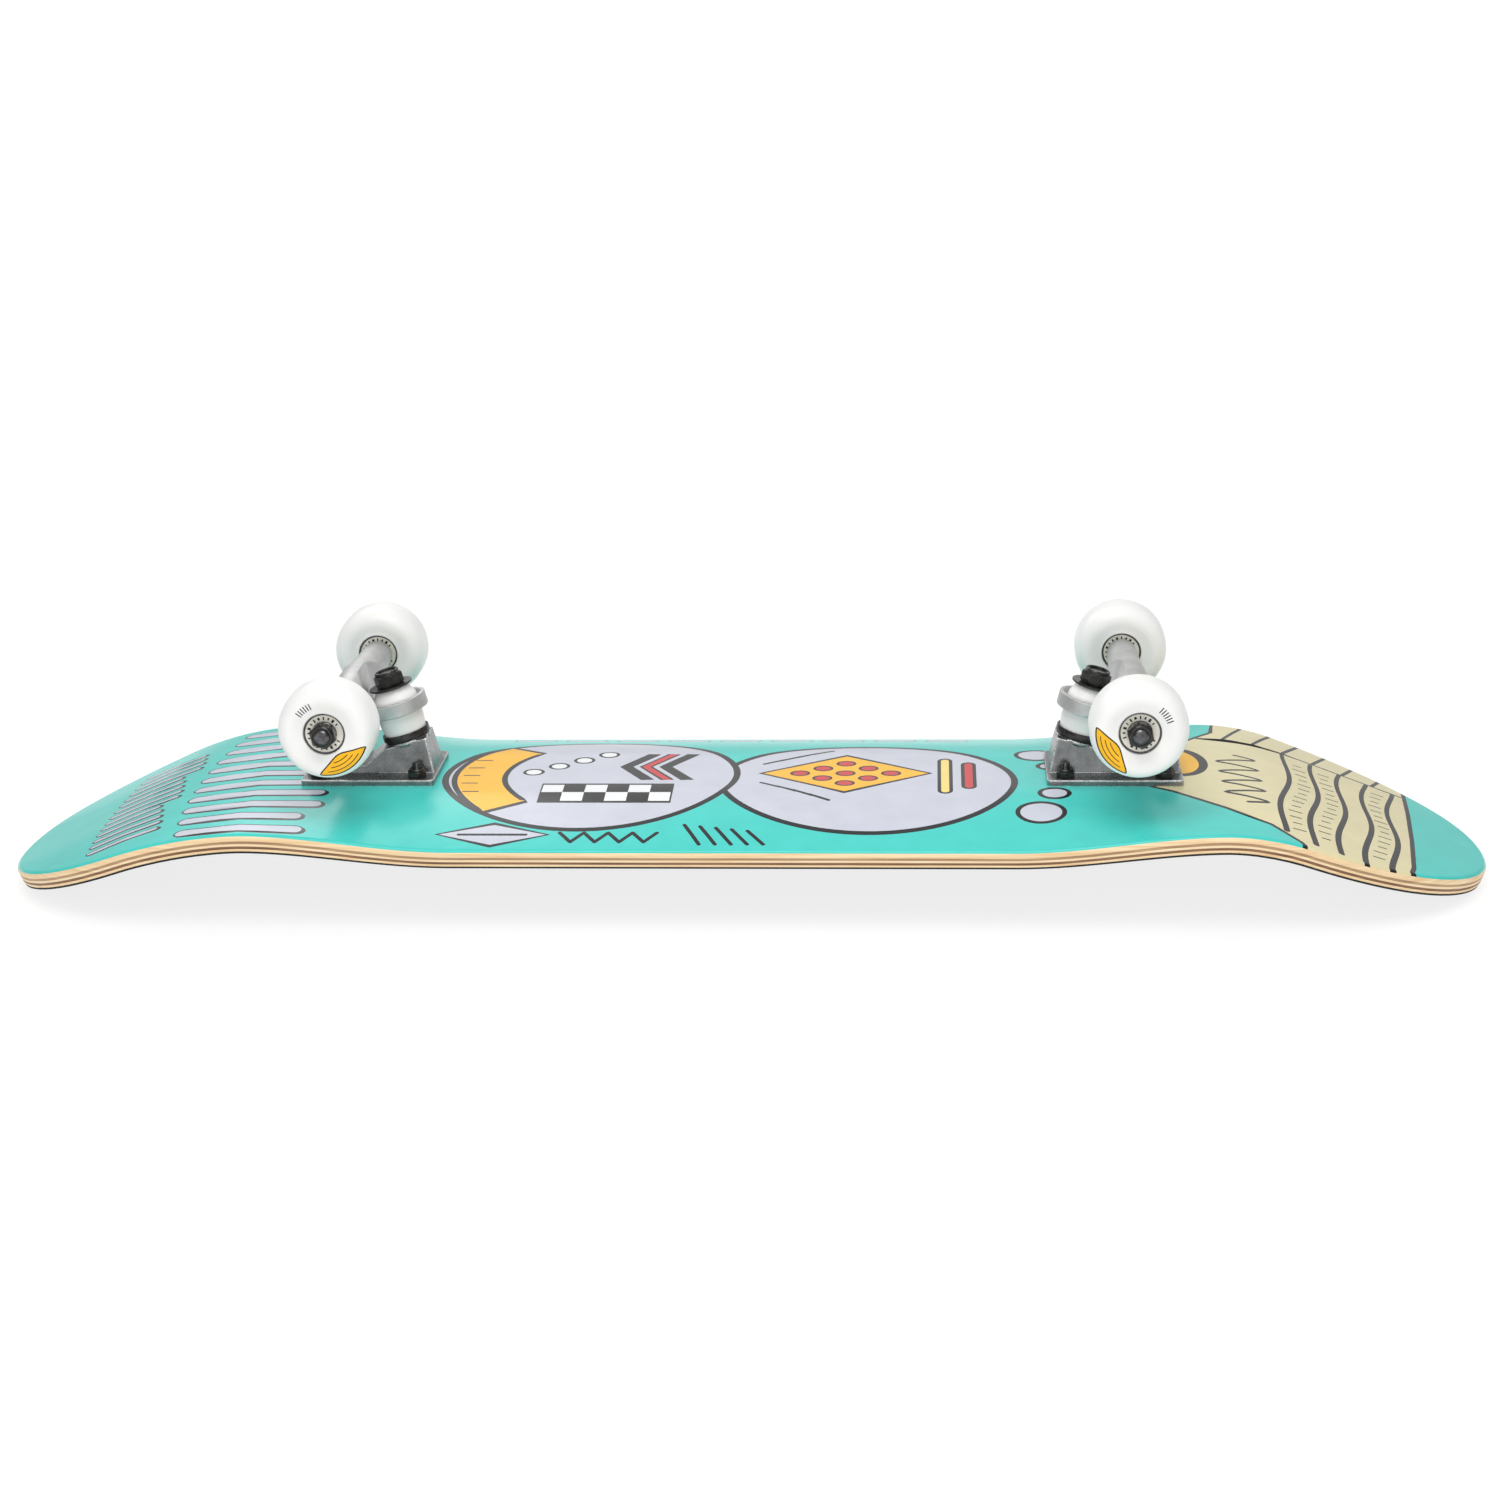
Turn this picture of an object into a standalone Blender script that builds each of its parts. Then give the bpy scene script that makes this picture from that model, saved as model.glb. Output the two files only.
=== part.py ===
"""A popsicle skateboard lying upside down: laminated deck, grip tape, two trucks and four wheels.

The board rests on its nose and tail, so +Z runs from the grip side to the wheels. +X runs along
the board to the tail. The origin is on the floor, under the middle of the board.
The rider's right is the -Y side and the rider's left is the +Y side.

Each truck has its own frame: x points away from the middle of the board, z is up from the
printed face of the deck, and the axle lies over x = 0.
"""

import math

import bmesh
import bpy
from mathutils import Matrix, Vector

MM = 0.001
GAP = 0.3 * MM  # running and seating clearance between neighbouring pieces

# Deck
DECK_LENGTH = 821.0 * MM
DECK_WIDTH = 205.0 * MM
DECK_THICKNESS = 9.6 * MM
RIM_BEVEL = 2.6 * MM
TAPE_THICKNESS = 0.8 * MM
TIP_DROP = 47.9 * MM  # fall of the printed face from the middle to each tip
NOSE_KICK_ANGLE = math.radians(23.0)
TAIL_KICK_ANGLE = math.radians(20.5)
NOSE_KICK_RADIUS = 195.0 * MM
TAIL_KICK_RADIUS = 130.0 * MM
CONCAVE_DEPTH = 12.6 * MM  # fall of the rails below the centre line, amidships
KICK_CONCAVE_DEPTH = 3.2 * MM
CONCAVE_FLAT = 29.0 * MM  # half-width of the flat strip that the trucks stand on
CONCAVE_POWER = 1.6
CONCAVE_FULL_TO = 150.0 * MM  # the concave is full inside this distance from the middle
CONCAVE_FADED_AT = 262.0 * MM
TIP_LENGTH = 135.0 * MM  # length of the rounded end of the outline
TIP_POWER = 2.3
TIP_ROOT = 2.1
TIP_CUT = 0.5 * MM  # the outline is squared off this far in, which leaves a short straight tip

# Truck: places in its own frame
WHEELBASE_AXLES = 426.6 * MM
AXLE_HEIGHT = 49.94 * MM
KINGPIN_SEAT = Vector((-26.9, 0.0, 20.3)) * MM
KINGPIN_LEAN = math.radians(15.0)
PIVOT = Vector((14.0, 0.0, 14.0)) * MM
RING_MIDDLE = 19.5 * MM  # height of the hanger's ring above the kingpin seat, along the kingpin

# Baseplate
PLATE_INBOARD = 45.0 * MM
PLATE_OUTBOARD = 29.0 * MM
PLATE_WIDTH = 56.0 * MM
PLATE_THICKNESS = 3.2 * MM
PLATE_CORNER = 5.0 * MM
PEDESTAL_WIDTH = 20.0 * MM
SEAT_RADIUS = 12.4 * MM
SEAT_FOOT_RADIUS = 13.4 * MM  # the seat's boss widens to this where it meets the plate
SEAT_FOOT_DEPTH = 18.5 * MM
SEAT_BOSS = 0.6 * MM  # the seat stands this far out of the pedestal
SEAT_SHOULDER = -6.0 * MM  # the kingpin's head bears on the casting this far under the seat
VALLEY_HEIGHT = 8.0 * MM  # lowest point of the pedestal, between the seat and the pivot
CUP_RADIUS = 7.6 * MM
CUP_RIM = 2.2 * MM  # height of the pivot cup's rim over the middle of the pivot
BOLT_SPACING_X = 53.98 * MM
BOLT_SPACING_Y = 41.28 * MM
BOLT_CENTRE_X = -7.75 * MM

# Fasteners
BOLT_RADIUS = 2.42 * MM
BOLT_HEAD_RADIUS = 4.6 * MM
BOLT_HEAD_HEIGHT = 2.6 * MM
BOLT_LENGTH = 22.2 * MM
BOLT_NUT_FLATS = 9.53 * MM
BOLT_NUT_HEX = 3.4 * MM
BOLT_NUT_HEIGHT = 4.8 * MM
KINGPIN_RADIUS = 4.76 * MM
KINGPIN_HEAD_RADIUS = 8.2 * MM
KINGPIN_NUT_FLATS = 14.29 * MM
KINGPIN_NUT_SEAT = 31.3 * MM
AXLE_RADIUS = 3.97 * MM
AXLE_HALF_LENGTH = 101.8 * MM
AXLE_NUT_FLATS = 12.7 * MM

# Hanger
RING_RADIUS = 17.0 * MM
RING_HEIGHT = 8.0 * MM
RING_RECESS_RADIUS = 12.6 * MM
RING_WEB_RADIUS = 7.0 * MM
RING_WEB_HEIGHT = 4.0 * MM
HANGER_HALF_LENGTH = 65.3 * MM
HANGER_BODY_WIDTH = 22.0 * MM
PIVOT_BALL_RADIUS = 5.6 * MM
# Half of the axle housing: (radius, distance from the truck's middle)
HOUSING_SECTION = ((8.3, 65.3), (8.6, 57.3), (9.4, 26.0), (11.0, 9.0))  # in mm
# The scoop that clears the kingpin's nut: two corners of a box on the kingpin's seat
SCOOP_LOW = Vector((-20.0, -16.0, 24.5)) * MM
SCOOP_HIGH = Vector((12.6, 16.0, 60.0)) * MM

# Sections on the kingpin, in mm: (radius, height over the seat), with the bore's radius as None
KINGPIN_SECTION = ((0, 38.6), (4.16, 38.6), (4.76, 37.8), (4.76, -6.3), (8.2, -6.3), (8.2, -12), (0, -12))
BOTTOM_WASHER_SECTION = (
    (13.2, 4.4), (13.2, 1.1), (12.3, 0.3), (None, 0.3), (None, 1.8), (12.3, 1.8), (12.3, 4.4)
)
BOTTOM_BUSHING_SECTION = (
    (12.2, 17.2), (12.2, 13.5), (12.4, 9.5), (11.7, 4.5), (11.7, 2.1), (None, 2.1), (None, 17.2)
)
TOP_BUSHING_SECTION = ((9.4, 29.2), (12.0, 24.1), (12.2, 21.8), (None, 21.8), (None, 29.2))
TOP_WASHER_SECTION = (
    (11.5, 31.6), (11.5, 30.4), (9.6, 29.5), (None, 29.5), (None, 31.0), (9.2, 31.0)
)

# Wheel and bearing
WHEEL_RADIUS = 26.0 * MM
WHEEL_HALF_WIDTH = 15.5 * MM
WHEEL_CENTRE_Y = 80.0 * MM
WHEEL_LIP_RADIUS = 18.5 * MM  # edge between the dished face and the rounded shoulder
WHEEL_TREAD_HALF = 5.0 * MM  # half-width of the flat tread
HUB_FACE = 14.0 * MM  # height of the wheel's dished hub over its middle plane
BEARING_RADIUS = 11.0 * MM
BEARING_WIDTH = 7.0 * MM
BEARING_FACE = 13.4 * MM
INNER_RACE_RADIUS = 6.0 * MM
SHIELD_RADIUS = 6.5 * MM
SPACER_RADIUS = 5.3 * MM
SPEED_RING_HEIGHT = 1.0 * MM

WHEEL_STEPS = 24
ROUND_STEPS = 16
SMALL_STEPS = 12


def kick(distance, angle, radius):
    """Fall of the deck's centre line at a distance from the middle, on one end."""
    arc_run = radius * math.sin(angle)
    arc_fall = radius * (1 - math.cos(angle))
    start = DECK_LENGTH / 2 - arc_run - (TIP_DROP - arc_fall) / math.tan(angle)
    run = distance - start
    if run <= 0:
        return 0.0
    if run < arc_run:
        return radius - math.sqrt(radius * radius - run * run)
    return arc_fall + (run - arc_run) * math.tan(angle)


def face_height(x, y):
    """Height of the printed face over its flat middle."""
    if x < 0:
        fall = kick(-x, NOSE_KICK_ANGLE, NOSE_KICK_RADIUS)
    else:
        fall = kick(x, TAIL_KICK_ANGLE, TAIL_KICK_RADIUS)
    fade = (abs(x) - CONCAVE_FULL_TO) / (CONCAVE_FADED_AT - CONCAVE_FULL_TO)
    fade = min(1.0, max(0.0, fade))
    fade = fade * fade * (3 - 2 * fade)
    depth = CONCAVE_DEPTH + (KICK_CONCAVE_DEPTH - CONCAVE_DEPTH) * fade
    reach = max(0.0, abs(y) - CONCAVE_FLAT) / (DECK_WIDTH / 2 - CONCAVE_FLAT)
    return -fall - depth * reach**CONCAVE_POWER


def half_width(x):
    """Half of the deck's width at x: parallel sides and rounded ends."""
    from_tip = DECK_LENGTH / 2 + TIP_CUT - abs(x)
    inside = max(0.0, 1 - from_tip / TIP_LENGTH)
    return DECK_WIDTH / 2 * (1 - inside**TIP_POWER) ** (1 / TIP_ROOT)


STACK_THICKNESS = DECK_THICKNESS + GAP + TAPE_THICKNESS
FACE_Z = TIP_DROP + STACK_THICKNESS * math.cos(TAIL_KICK_ANGLE)  # flat printed face over the floor

KINGPIN_AXIS = Vector((math.sin(KINGPIN_LEAN), 0, math.cos(KINGPIN_LEAN)))
RING_CENTRE = KINGPIN_SEAT + KINGPIN_AXIS * RING_MIDDLE
STEER_AXIS = (RING_CENTRE - PIVOT).normalized()


def new_collection(name):
    collection = bpy.data.collections.new(name)
    bpy.context.scene.collection.children.link(collection)
    return collection


def new_material(name, colour, roughness, metallic=0.0):
    material = bpy.data.materials.new(name)
    material.use_nodes = True
    shader = material.node_tree.nodes["Principled BSDF"]
    shader.inputs["Base Color"].default_value = (*colour, 1.0)
    shader.inputs["Roughness"].default_value = roughness
    shader.inputs["Metallic"].default_value = metallic
    return material


for leftover in list(bpy.data.objects):
    bpy.data.objects.remove(leftover, do_unlink=True)

PARTS = new_collection("skateboard")
CUTTERS = new_collection("cutters")
CUTTERS.hide_render = True

PRINT = new_material("printed_maple", (0.10, 0.62, 0.55), 0.25)
GRIT = new_material("grip_tape", (0.02, 0.02, 0.02), 0.95)
CAST = new_material("cast_aluminium", (0.55, 0.56, 0.57), 0.45, 1.0)
STEEL = new_material("zinc_steel", (0.60, 0.60, 0.58), 0.30, 1.0)
BLACK = new_material("black_steel", (0.02, 0.02, 0.02), 0.35, 0.8)
URETHANE = new_material("white_urethane", (0.88, 0.88, 0.84), 0.35)
BUSHING = new_material("bushing_urethane", (0.85, 0.86, 0.86), 0.40)
CUP = new_material("pivot_cup_nylon", (0.03, 0.03, 0.03), 0.60)
SHIELD = new_material("bearing_shield", (0.75, 0.72, 0.62), 0.35, 0.3)


def new_object(name, mesh, material, collection):
    obj = bpy.data.objects.new(name, mesh)
    collection.objects.link(obj)
    if material:
        mesh.materials.append(material)
    return obj


def new_empty(name, parent=None, location=(0, 0, 0), turn=None):
    empty = bpy.data.objects.new(name, None)
    PARTS.objects.link(empty)
    empty.parent = parent
    empty.location = location
    empty.rotation_euler = turn.to_euler() if turn else (0, 0, 0)
    return empty


def mesh_from(bm, name):
    mesh = bpy.data.meshes.new(name)
    bm.to_mesh(mesh)
    bm.free()
    return mesh


def applied(obj):
    """Turns an object with modifiers, or a curve, into a plain welded mesh object."""
    bpy.context.view_layer.update()
    graph = bpy.context.evaluated_depsgraph_get()
    mesh = bpy.data.meshes.new_from_object(obj.evaluated_get(graph))
    bm = bmesh.new()
    bm.from_mesh(mesh)
    bmesh.ops.remove_doubles(bm, verts=bm.verts, dist=1e-6)
    bm.to_mesh(mesh)
    bm.free()
    result = bpy.data.objects.new(obj.name, mesh)
    result.matrix_world = obj.matrix_world
    for collection in obj.users_collection:
        collection.objects.link(result)
    name = obj.name
    bpy.data.objects.remove(obj, do_unlink=True)
    result.name = name
    return result


def smooth(obj, angle=35):
    obj.data.shade_smooth()
    obj.data.set_sharp_from_angle(angle=math.radians(angle))


def along(direction):
    """Rotation that takes +Z to a direction."""
    return Vector(direction).to_track_quat("Z", "Y").to_matrix().to_4x4()


def turned(name, profile, material, steps=ROUND_STEPS, collection=None):
    """A solid turned about Z. The profile lists (radius, height) down the outer side.

    A profile that leaves the axis open comes back up its inner side, which makes a ring.
    """
    bm = bmesh.new()
    points = [bm.verts.new((radius, 0, height)) for radius, height in profile]
    for first, second in zip(points, points[1:]):
        bm.edges.new((first, second))
    if profile[0][0] > 0:
        bm.edges.new((points[-1], points[0]))
    obj = new_object(name, mesh_from(bm, name), material, collection or PARTS)
    screw = obj.modifiers.new("turn", "SCREW")
    screw.steps = screw.render_steps = steps
    screw.use_merge_vertices = True
    screw.merge_threshold = 1e-6
    screw.use_smooth_shade = False
    result = applied(obj)
    smooth(result)
    return result


def cylinder(name, radius, bottom, top, material, steps=ROUND_STEPS, collection=None):
    profile = [(0, top), (radius, top), (radius, bottom), (0, bottom)]
    return turned(name, profile, material, steps, collection)


def hexagon(name, flats, bottom, top, material):
    bm = bmesh.new()
    radius = flats / 2 / math.cos(math.pi / 6)
    raised = Matrix.Translation((0, 0, (bottom + top) / 2))
    bmesh.ops.create_cone(
        bm, cap_ends=True, segments=6, radius1=radius, radius2=radius, depth=top - bottom, matrix=raised
    )
    return new_object(name, mesh_from(bm, name), material, PARTS)


def plate_outline(name, points, width, material, flat=False):
    """A flat outline in the XZ plane with a width along Y or, if flat, in the XY plane with one along Z."""
    curve = bpy.data.curves.new(name, "CURVE")
    curve.dimensions = "2D"
    curve.fill_mode = "BOTH"
    curve.extrude = width / 2
    spline = curve.splines.new("POLY")
    spline.points.add(len(points) - 1)
    for point, (x, z) in zip(spline.points, points):
        point.co = (x, z, 0, 1)
    spline.use_cyclic_u = True
    obj = new_object(name, curve, material, PARTS)
    if not flat:
        obj.rotation_euler = (math.pi / 2, 0, 0)
    return moved(applied(obj))


def moved(obj, matrix=None):
    """Bakes a transform into the mesh: the object's own one, or a given one."""
    obj.data.transform(matrix if matrix else obj.matrix_world)
    obj.matrix_world = Matrix.Identity(4)
    return obj


def boolean(obj, other, operation):
    modifier = obj.modifiers.new(operation.lower(), "BOOLEAN")
    modifier.operation = operation
    modifier.object = other
    modifier.solver = "EXACT"
    result = applied(obj)
    if operation == "UNION":
        bpy.data.objects.remove(other, do_unlink=True)
    else:
        other.hide_render = True
        other.display_type = "WIRE"
    return result


def cut(obj, *cutters):
    for cutter in cutters:
        obj = boolean(obj, cutter, "DIFFERENCE")
    return obj


def joined(obj, *others):
    for other in others:
        obj = boolean(obj, other, "UNION")
    return obj


def placed(obj, parent, location=(0, 0, 0), turn=None):
    """Hangs an object on its parent, with its origin at the given place."""
    obj.parent = parent
    obj.location = location
    obj.rotation_euler = turn.to_euler() if turn else (0, 0, 0)
    return obj


def copy_of(obj, name):
    duplicate = bpy.data.objects.new(name, obj.data)
    PARTS.objects.link(duplicate)
    return duplicate


# ---------------------------------------------------------------- deck and grip tape


def station_list():
    """Cross-sections along one half of the board, from the tip to the middle."""
    tip = [0, 2, 7, 15, 27, 43, 64, 90]
    stations = [DECK_LENGTH / 2 - step * MM for step in tip]
    kick_steps = [x * MM for x in (302, 286, 271, 257)]
    fade_steps = [x * MM for x in (236, 212, 184, 150)]
    return stations + kick_steps + fade_steps


def board_surface():
    """The open sheet of the printed face: a grid drawn to the outline and to the two kicks."""
    half = station_list()
    stations = [-x for x in half] + [0.0] + half[::-1]
    across = (-1.0, -0.80, -0.55, -0.283, 0.283, 0.55, 0.80, 1.0)
    bm = bmesh.new()
    bmesh.ops.create_grid(bm, x_segments=len(stations) - 1, y_segments=len(across) - 1, size=1)
    for vertex in bm.verts:
        column = round((vertex.co.x + 1) / 2 * (len(stations) - 1))
        row = round((vertex.co.y + 1) / 2 * (len(across) - 1))
        x = stations[column]
        y = across[row] * half_width(x)
        vertex.co = (x, y, FACE_Z + face_height(x, y))
    bm.normal_update()
    return bm


def board_layer(name, below_face, thickness, material, rim_bevel=0.0):
    """A layer of the board, lying a distance below the printed face along the face's normals."""
    bm = board_surface()
    for vertex in bm.verts:
        vertex.co -= vertex.normal * below_face
    obj = new_object(name, mesh_from(bm, name), material, PARTS)
    solidify = obj.modifiers.new("thickness", "SOLIDIFY")
    solidify.thickness = thickness
    solidify.offset = -1
    solidify.use_even_offset = True
    obj = applied(obj)
    if rim_bevel:
        bm = bmesh.new()
        bm.from_mesh(obj.data)
        rim = [edge for edge in bm.edges if is_printed_rim(edge)]
        bmesh.ops.bevel(bm, geom=rim, offset=rim_bevel, segments=2, profile=0.5, affect="EDGES")
        bm.to_mesh(obj.data)
        bm.free()
    return obj


def is_printed_rim(edge):
    """True on the edge loop where the printed face meets the board's side."""
    if len(edge.link_faces) != 2:
        return False
    steepness = sorted(abs(face.normal.z) for face in edge.link_faces)
    on_face = max(face.normal.z for face in edge.link_faces) > 0.8
    return on_face and steepness[0] < 0.6


def bolt_places():
    """The four bolt centres of a truck, in the truck's frame."""
    for x_side in (-1, 1):
        for y_side in (-1, 1):
            x = BOLT_CENTRE_X + x_side * BOLT_SPACING_X / 2
            yield Vector((x, y_side * BOLT_SPACING_Y / 2, 0))


def bolt_profile():
    """A flat-headed bolt with its head's top at z = 0 and its shank up +Z."""
    return [
        (0, BOLT_LENGTH),
        (BOLT_RADIUS, BOLT_LENGTH),
        (BOLT_RADIUS, BOLT_HEAD_HEIGHT),
        (BOLT_HEAD_RADIUS, 0),
        (0, 0),
    ]


def bolt_hole_profile():
    """The countersunk hole that a bolt stands in, through the deck and its grip tape."""
    top = BOLT_LENGTH + 2 * MM
    shank = BOLT_RADIUS + GAP
    head = BOLT_HEAD_RADIUS + GAP
    return [
        (0, top),
        (shank, top),
        (shank, BOLT_HEAD_HEIGHT + GAP),
        (head, GAP / 2),
        (head, -2 * MM),
        (0, -2 * MM),
    ]


def truck_frames():
    """Name, empty and matrix of each truck. The front one is turned half round, to face the nose."""
    for name, side in (("front", -1), ("rear", 1)):
        turn = Matrix.Rotation(math.pi if side < 0 else 0, 4, "Z")
        place = Vector((side * WHEELBASE_AXLES / 2, 0, FACE_Z))
        empty = new_empty(name + "_truck", None, place, turn)
        yield name, empty, Matrix.Translation(place) @ turn


TRUCKS = list(truck_frames())


def make_board():
    tape_top = DECK_THICKNESS + GAP
    deck = board_layer("deck", 0.0, DECK_THICKNESS, PRINT, RIM_BEVEL)
    tape = board_layer("grip_tape", tape_top, TAPE_THICKNESS, GRIT)
    for name, _, matrix in TRUCKS:
        for number, place in enumerate(bolt_places(), 1):
            hole = turned(f"{name}_hole_{number}", bolt_hole_profile(), None, SMALL_STEPS, CUTTERS)
            head_top = matrix @ (place - Vector((0, 0, STACK_THICKNESS)))
            moved(hole, Matrix.Translation(head_top))
            deck = cut(deck, hole)
            tape = cut(tape, hole)
    smooth(deck, 30)
    smooth(tape, 30)


# ---------------------------------------------------------------- trucks


def on_kingpin(radius, height):
    """Point in a truck's XZ plane, out from the kingpin and up it from its seat."""
    outward = Vector((KINGPIN_AXIS.z, 0, -KINGPIN_AXIS.x))
    point = KINGPIN_SEAT + KINGPIN_AXIS * height + outward * radius
    return point.x, point.z


def on_pivot(along_axis, above_axis):
    """Point in a truck's XZ plane, along the steering axis from the pivot and over that axis."""
    over = Vector((STEER_AXIS.z, 0, -STEER_AXIS.x))
    point = PIVOT + STEER_AXIS * along_axis + over * above_axis
    return point.x, point.z


def kingpin_turned(name, profile, material, steps=ROUND_STEPS, collection=None):
    """A piece turned about the kingpin, in the truck's frame."""
    obj = turned(name, profile, material, steps, collection)
    return moved(obj, Matrix.Translation(KINGPIN_SEAT) @ along(KINGPIN_AXIS))


def pivot_turned(name, profile, material, steps=ROUND_STEPS, collection=None):
    """A piece turned about the steering axis, in the truck's frame."""
    obj = turned(name, profile, material, steps, collection)
    return moved(obj, Matrix.Translation(PIVOT) @ along(STEER_AXIS))


def axle_turned(name, profile, material, steps=ROUND_STEPS, collection=None):
    """A piece turned about the axle, in the truck's frame."""
    obj = turned(name, profile, material, steps, collection)
    lying = Matrix.Rotation(-math.pi / 2, 4, "X")
    return moved(obj, Matrix.Translation((0, 0, AXLE_HEIGHT)) @ lying)


def box_cutter(name, low, high):
    """A box with two given corners."""
    bm = bmesh.new()
    bmesh.ops.create_cube(bm, size=1)
    size = Vector(high) - Vector(low)
    middle = (Vector(high) + Vector(low)) / 2
    matrix = Matrix.Translation(middle) @ Matrix.Diagonal((*size, 1))
    bmesh.ops.transform(bm, verts=bm.verts, matrix=matrix)
    return new_object(name, mesh_from(bm, name), None, CUTTERS)


def plate_points():
    """Outline of the baseplate from above: a rectangle with rounded corners."""
    middle = (PLATE_OUTBOARD - PLATE_INBOARD) / 2
    half_x = (PLATE_OUTBOARD + PLATE_INBOARD) / 2 - PLATE_CORNER
    half_y = PLATE_WIDTH / 2 - PLATE_CORNER
    for corner, (x_side, y_side) in enumerate(((1, 1), (-1, 1), (-1, -1), (1, -1))):
        for step in range(4):
            angle = math.radians(90 * corner + 30 * step)
            x = middle + x_side * half_x + PLATE_CORNER * math.cos(angle)
            yield x, y_side * half_y + PLATE_CORNER * math.sin(angle)


def make_baseplate():
    plate = plate_outline("baseplate", list(plate_points()), PLATE_THICKNESS, CAST, flat=True)
    plate = moved(plate, Matrix.Translation((0, 0, GAP + PLATE_THICKNESS / 2)))

    foot = GAP + PLATE_THICKNESS / 2
    outline = [
        (-33.0 * MM, foot),
        (PLATE_OUTBOARD - 1.8 * MM, foot),
        on_pivot(-9.5 * MM, 9.5 * MM),
        on_pivot(2.5 * MM, 9.5 * MM),
        on_pivot(2.5 * MM, -9.0 * MM),
        (-6.0 * MM, VALLEY_HEIGHT),
        on_kingpin(9.5 * MM, -SEAT_BOSS),
        on_kingpin(0, -SEAT_BOSS),
    ]
    pedestal = plate_outline("pedestal", outline, PEDESTAL_WIDTH, CAST)
    cone = [(0, 0), (SEAT_RADIUS, 0), (SEAT_FOOT_RADIUS, -SEAT_FOOT_DEPTH), (0, -SEAT_FOOT_DEPTH)]
    seat = kingpin_turned("seat", cone, CAST, 24)
    far = 80 * MM
    flank = PEDESTAL_WIDTH / 2 - 0.1 * MM
    seat = cut(
        seat,
        box_cutter("seat_left_flank", (-far, flank, -far), (far, far, far)),
        box_cutter("seat_right_flank", (-far, -far, -far), (far, -flank, far)),
        box_cutter("seat_underside", (-far, -far, -far), (far, far, foot)),
    )
    body = joined(plate, pedestal, seat)

    bore = KINGPIN_RADIUS + GAP
    recess = KINGPIN_HEAD_RADIUS + GAP
    kingpin_hole = [
        (0, 5 * MM),
        (bore, 5 * MM),
        (bore, SEAT_SHOULDER),
        (recess, SEAT_SHOULDER),
        (recess, -32 * MM),
        (0, -32 * MM),
    ]
    cup_hole = [
        (0, 12 * MM),
        (CUP_RADIUS + GAP, 12 * MM),
        (CUP_RADIUS + GAP, -CUP_RADIUS - GAP),
        (0, -CUP_RADIUS - GAP),
    ]
    cutters = [
        kingpin_turned("kingpin_hole", kingpin_hole, None, ROUND_STEPS, CUTTERS),
        pivot_turned("pivot_cup_hole", cup_hole, None, ROUND_STEPS, CUTTERS),
    ]
    for number, place in enumerate(bolt_places(), 1):
        radius = BOLT_RADIUS + GAP
        hole = cylinder(f"plate_hole_{number}", radius, -5 * MM, 15 * MM, None, SMALL_STEPS, CUTTERS)
        cutters.append(moved(hole, Matrix.Translation(place)))
    body = cut(body, *cutters)
    smooth(body, 30)
    return body


def make_hanger():
    """The casting that carries the axle: axle housing, body, ring round the kingpin and pivot stem."""
    one_side = [(radius * MM, reach * MM) for radius, reach in HOUSING_SECTION]
    other_side = [(radius, -reach) for radius, reach in reversed(one_side)]
    half = HANGER_HALF_LENGTH
    housing = [(0, half), *one_side, *other_side, (0, -half)]
    hanger = axle_turned("hanger", housing, CAST)
    outline = [
        on_kingpin(14.5 * MM, 16.2 * MM),
        on_pivot(16.0 * MM, -1.0 * MM),
        on_pivot(9.0 * MM, 1.6 * MM),
        on_pivot(9.5 * MM, 9.0 * MM),
        (13.5 * MM, 38.0 * MM),
        (11.5 * MM, 50.0 * MM),
        (6.0 * MM, 58.5 * MM),
        (-4.0 * MM, 58.5 * MM),
        (-7.0 * MM, 50.0 * MM),
        on_kingpin(14.5 * MM, 22.9 * MM),
    ]
    body = plate_outline("body", outline, HANGER_BODY_WIDTH, CAST)
    low = RING_MIDDLE - RING_HEIGHT / 2
    high = RING_MIDDLE + RING_HEIGHT / 2
    web_low = RING_MIDDLE - RING_WEB_HEIGHT / 2
    web_high = RING_MIDDLE + RING_WEB_HEIGHT / 2
    ring = kingpin_turned(
        "ring",
        [
            (RING_RADIUS, high),
            (RING_RADIUS, low),
            (RING_RECESS_RADIUS, low),
            (RING_RECESS_RADIUS, web_low),
            (RING_WEB_RADIUS, web_low),
            (RING_WEB_RADIUS, web_high),
            (RING_RECESS_RADIUS, web_high),
            (RING_RECESS_RADIUS, high),
        ],
        CAST,
        24,
    )
    ball = PIVOT_BALL_RADIUS
    stem_profile = [
        (0, 17 * MM),
        (8.4 * MM, 17 * MM),
        (ball + 0.2 * MM, 3.5 * MM),
        (ball, 0),
        (ball * 0.76, -ball * 0.65),
        (0, -ball),
    ]
    stem = pivot_turned("stem", stem_profile, CAST)
    hanger = joined(hanger, body, ring, stem)
    reach = half + 5 * MM
    bore = AXLE_RADIUS + GAP
    axle_hole_profile = [(0, reach), (bore, reach), (bore, -reach), (0, -reach)]
    axle_hole = axle_turned("axle_hole", axle_hole_profile, None, ROUND_STEPS, CUTTERS)
    scoop = box_cutter("nut_scoop", SCOOP_LOW, SCOOP_HIGH)
    upright = Matrix.Translation(KINGPIN_SEAT) @ Matrix.Rotation(KINGPIN_LEAN, 4, "Y")
    moved(scoop, upright)
    hanger = cut(hanger, axle_hole, scoop)
    smooth(hanger, 30)
    return hanger


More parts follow.
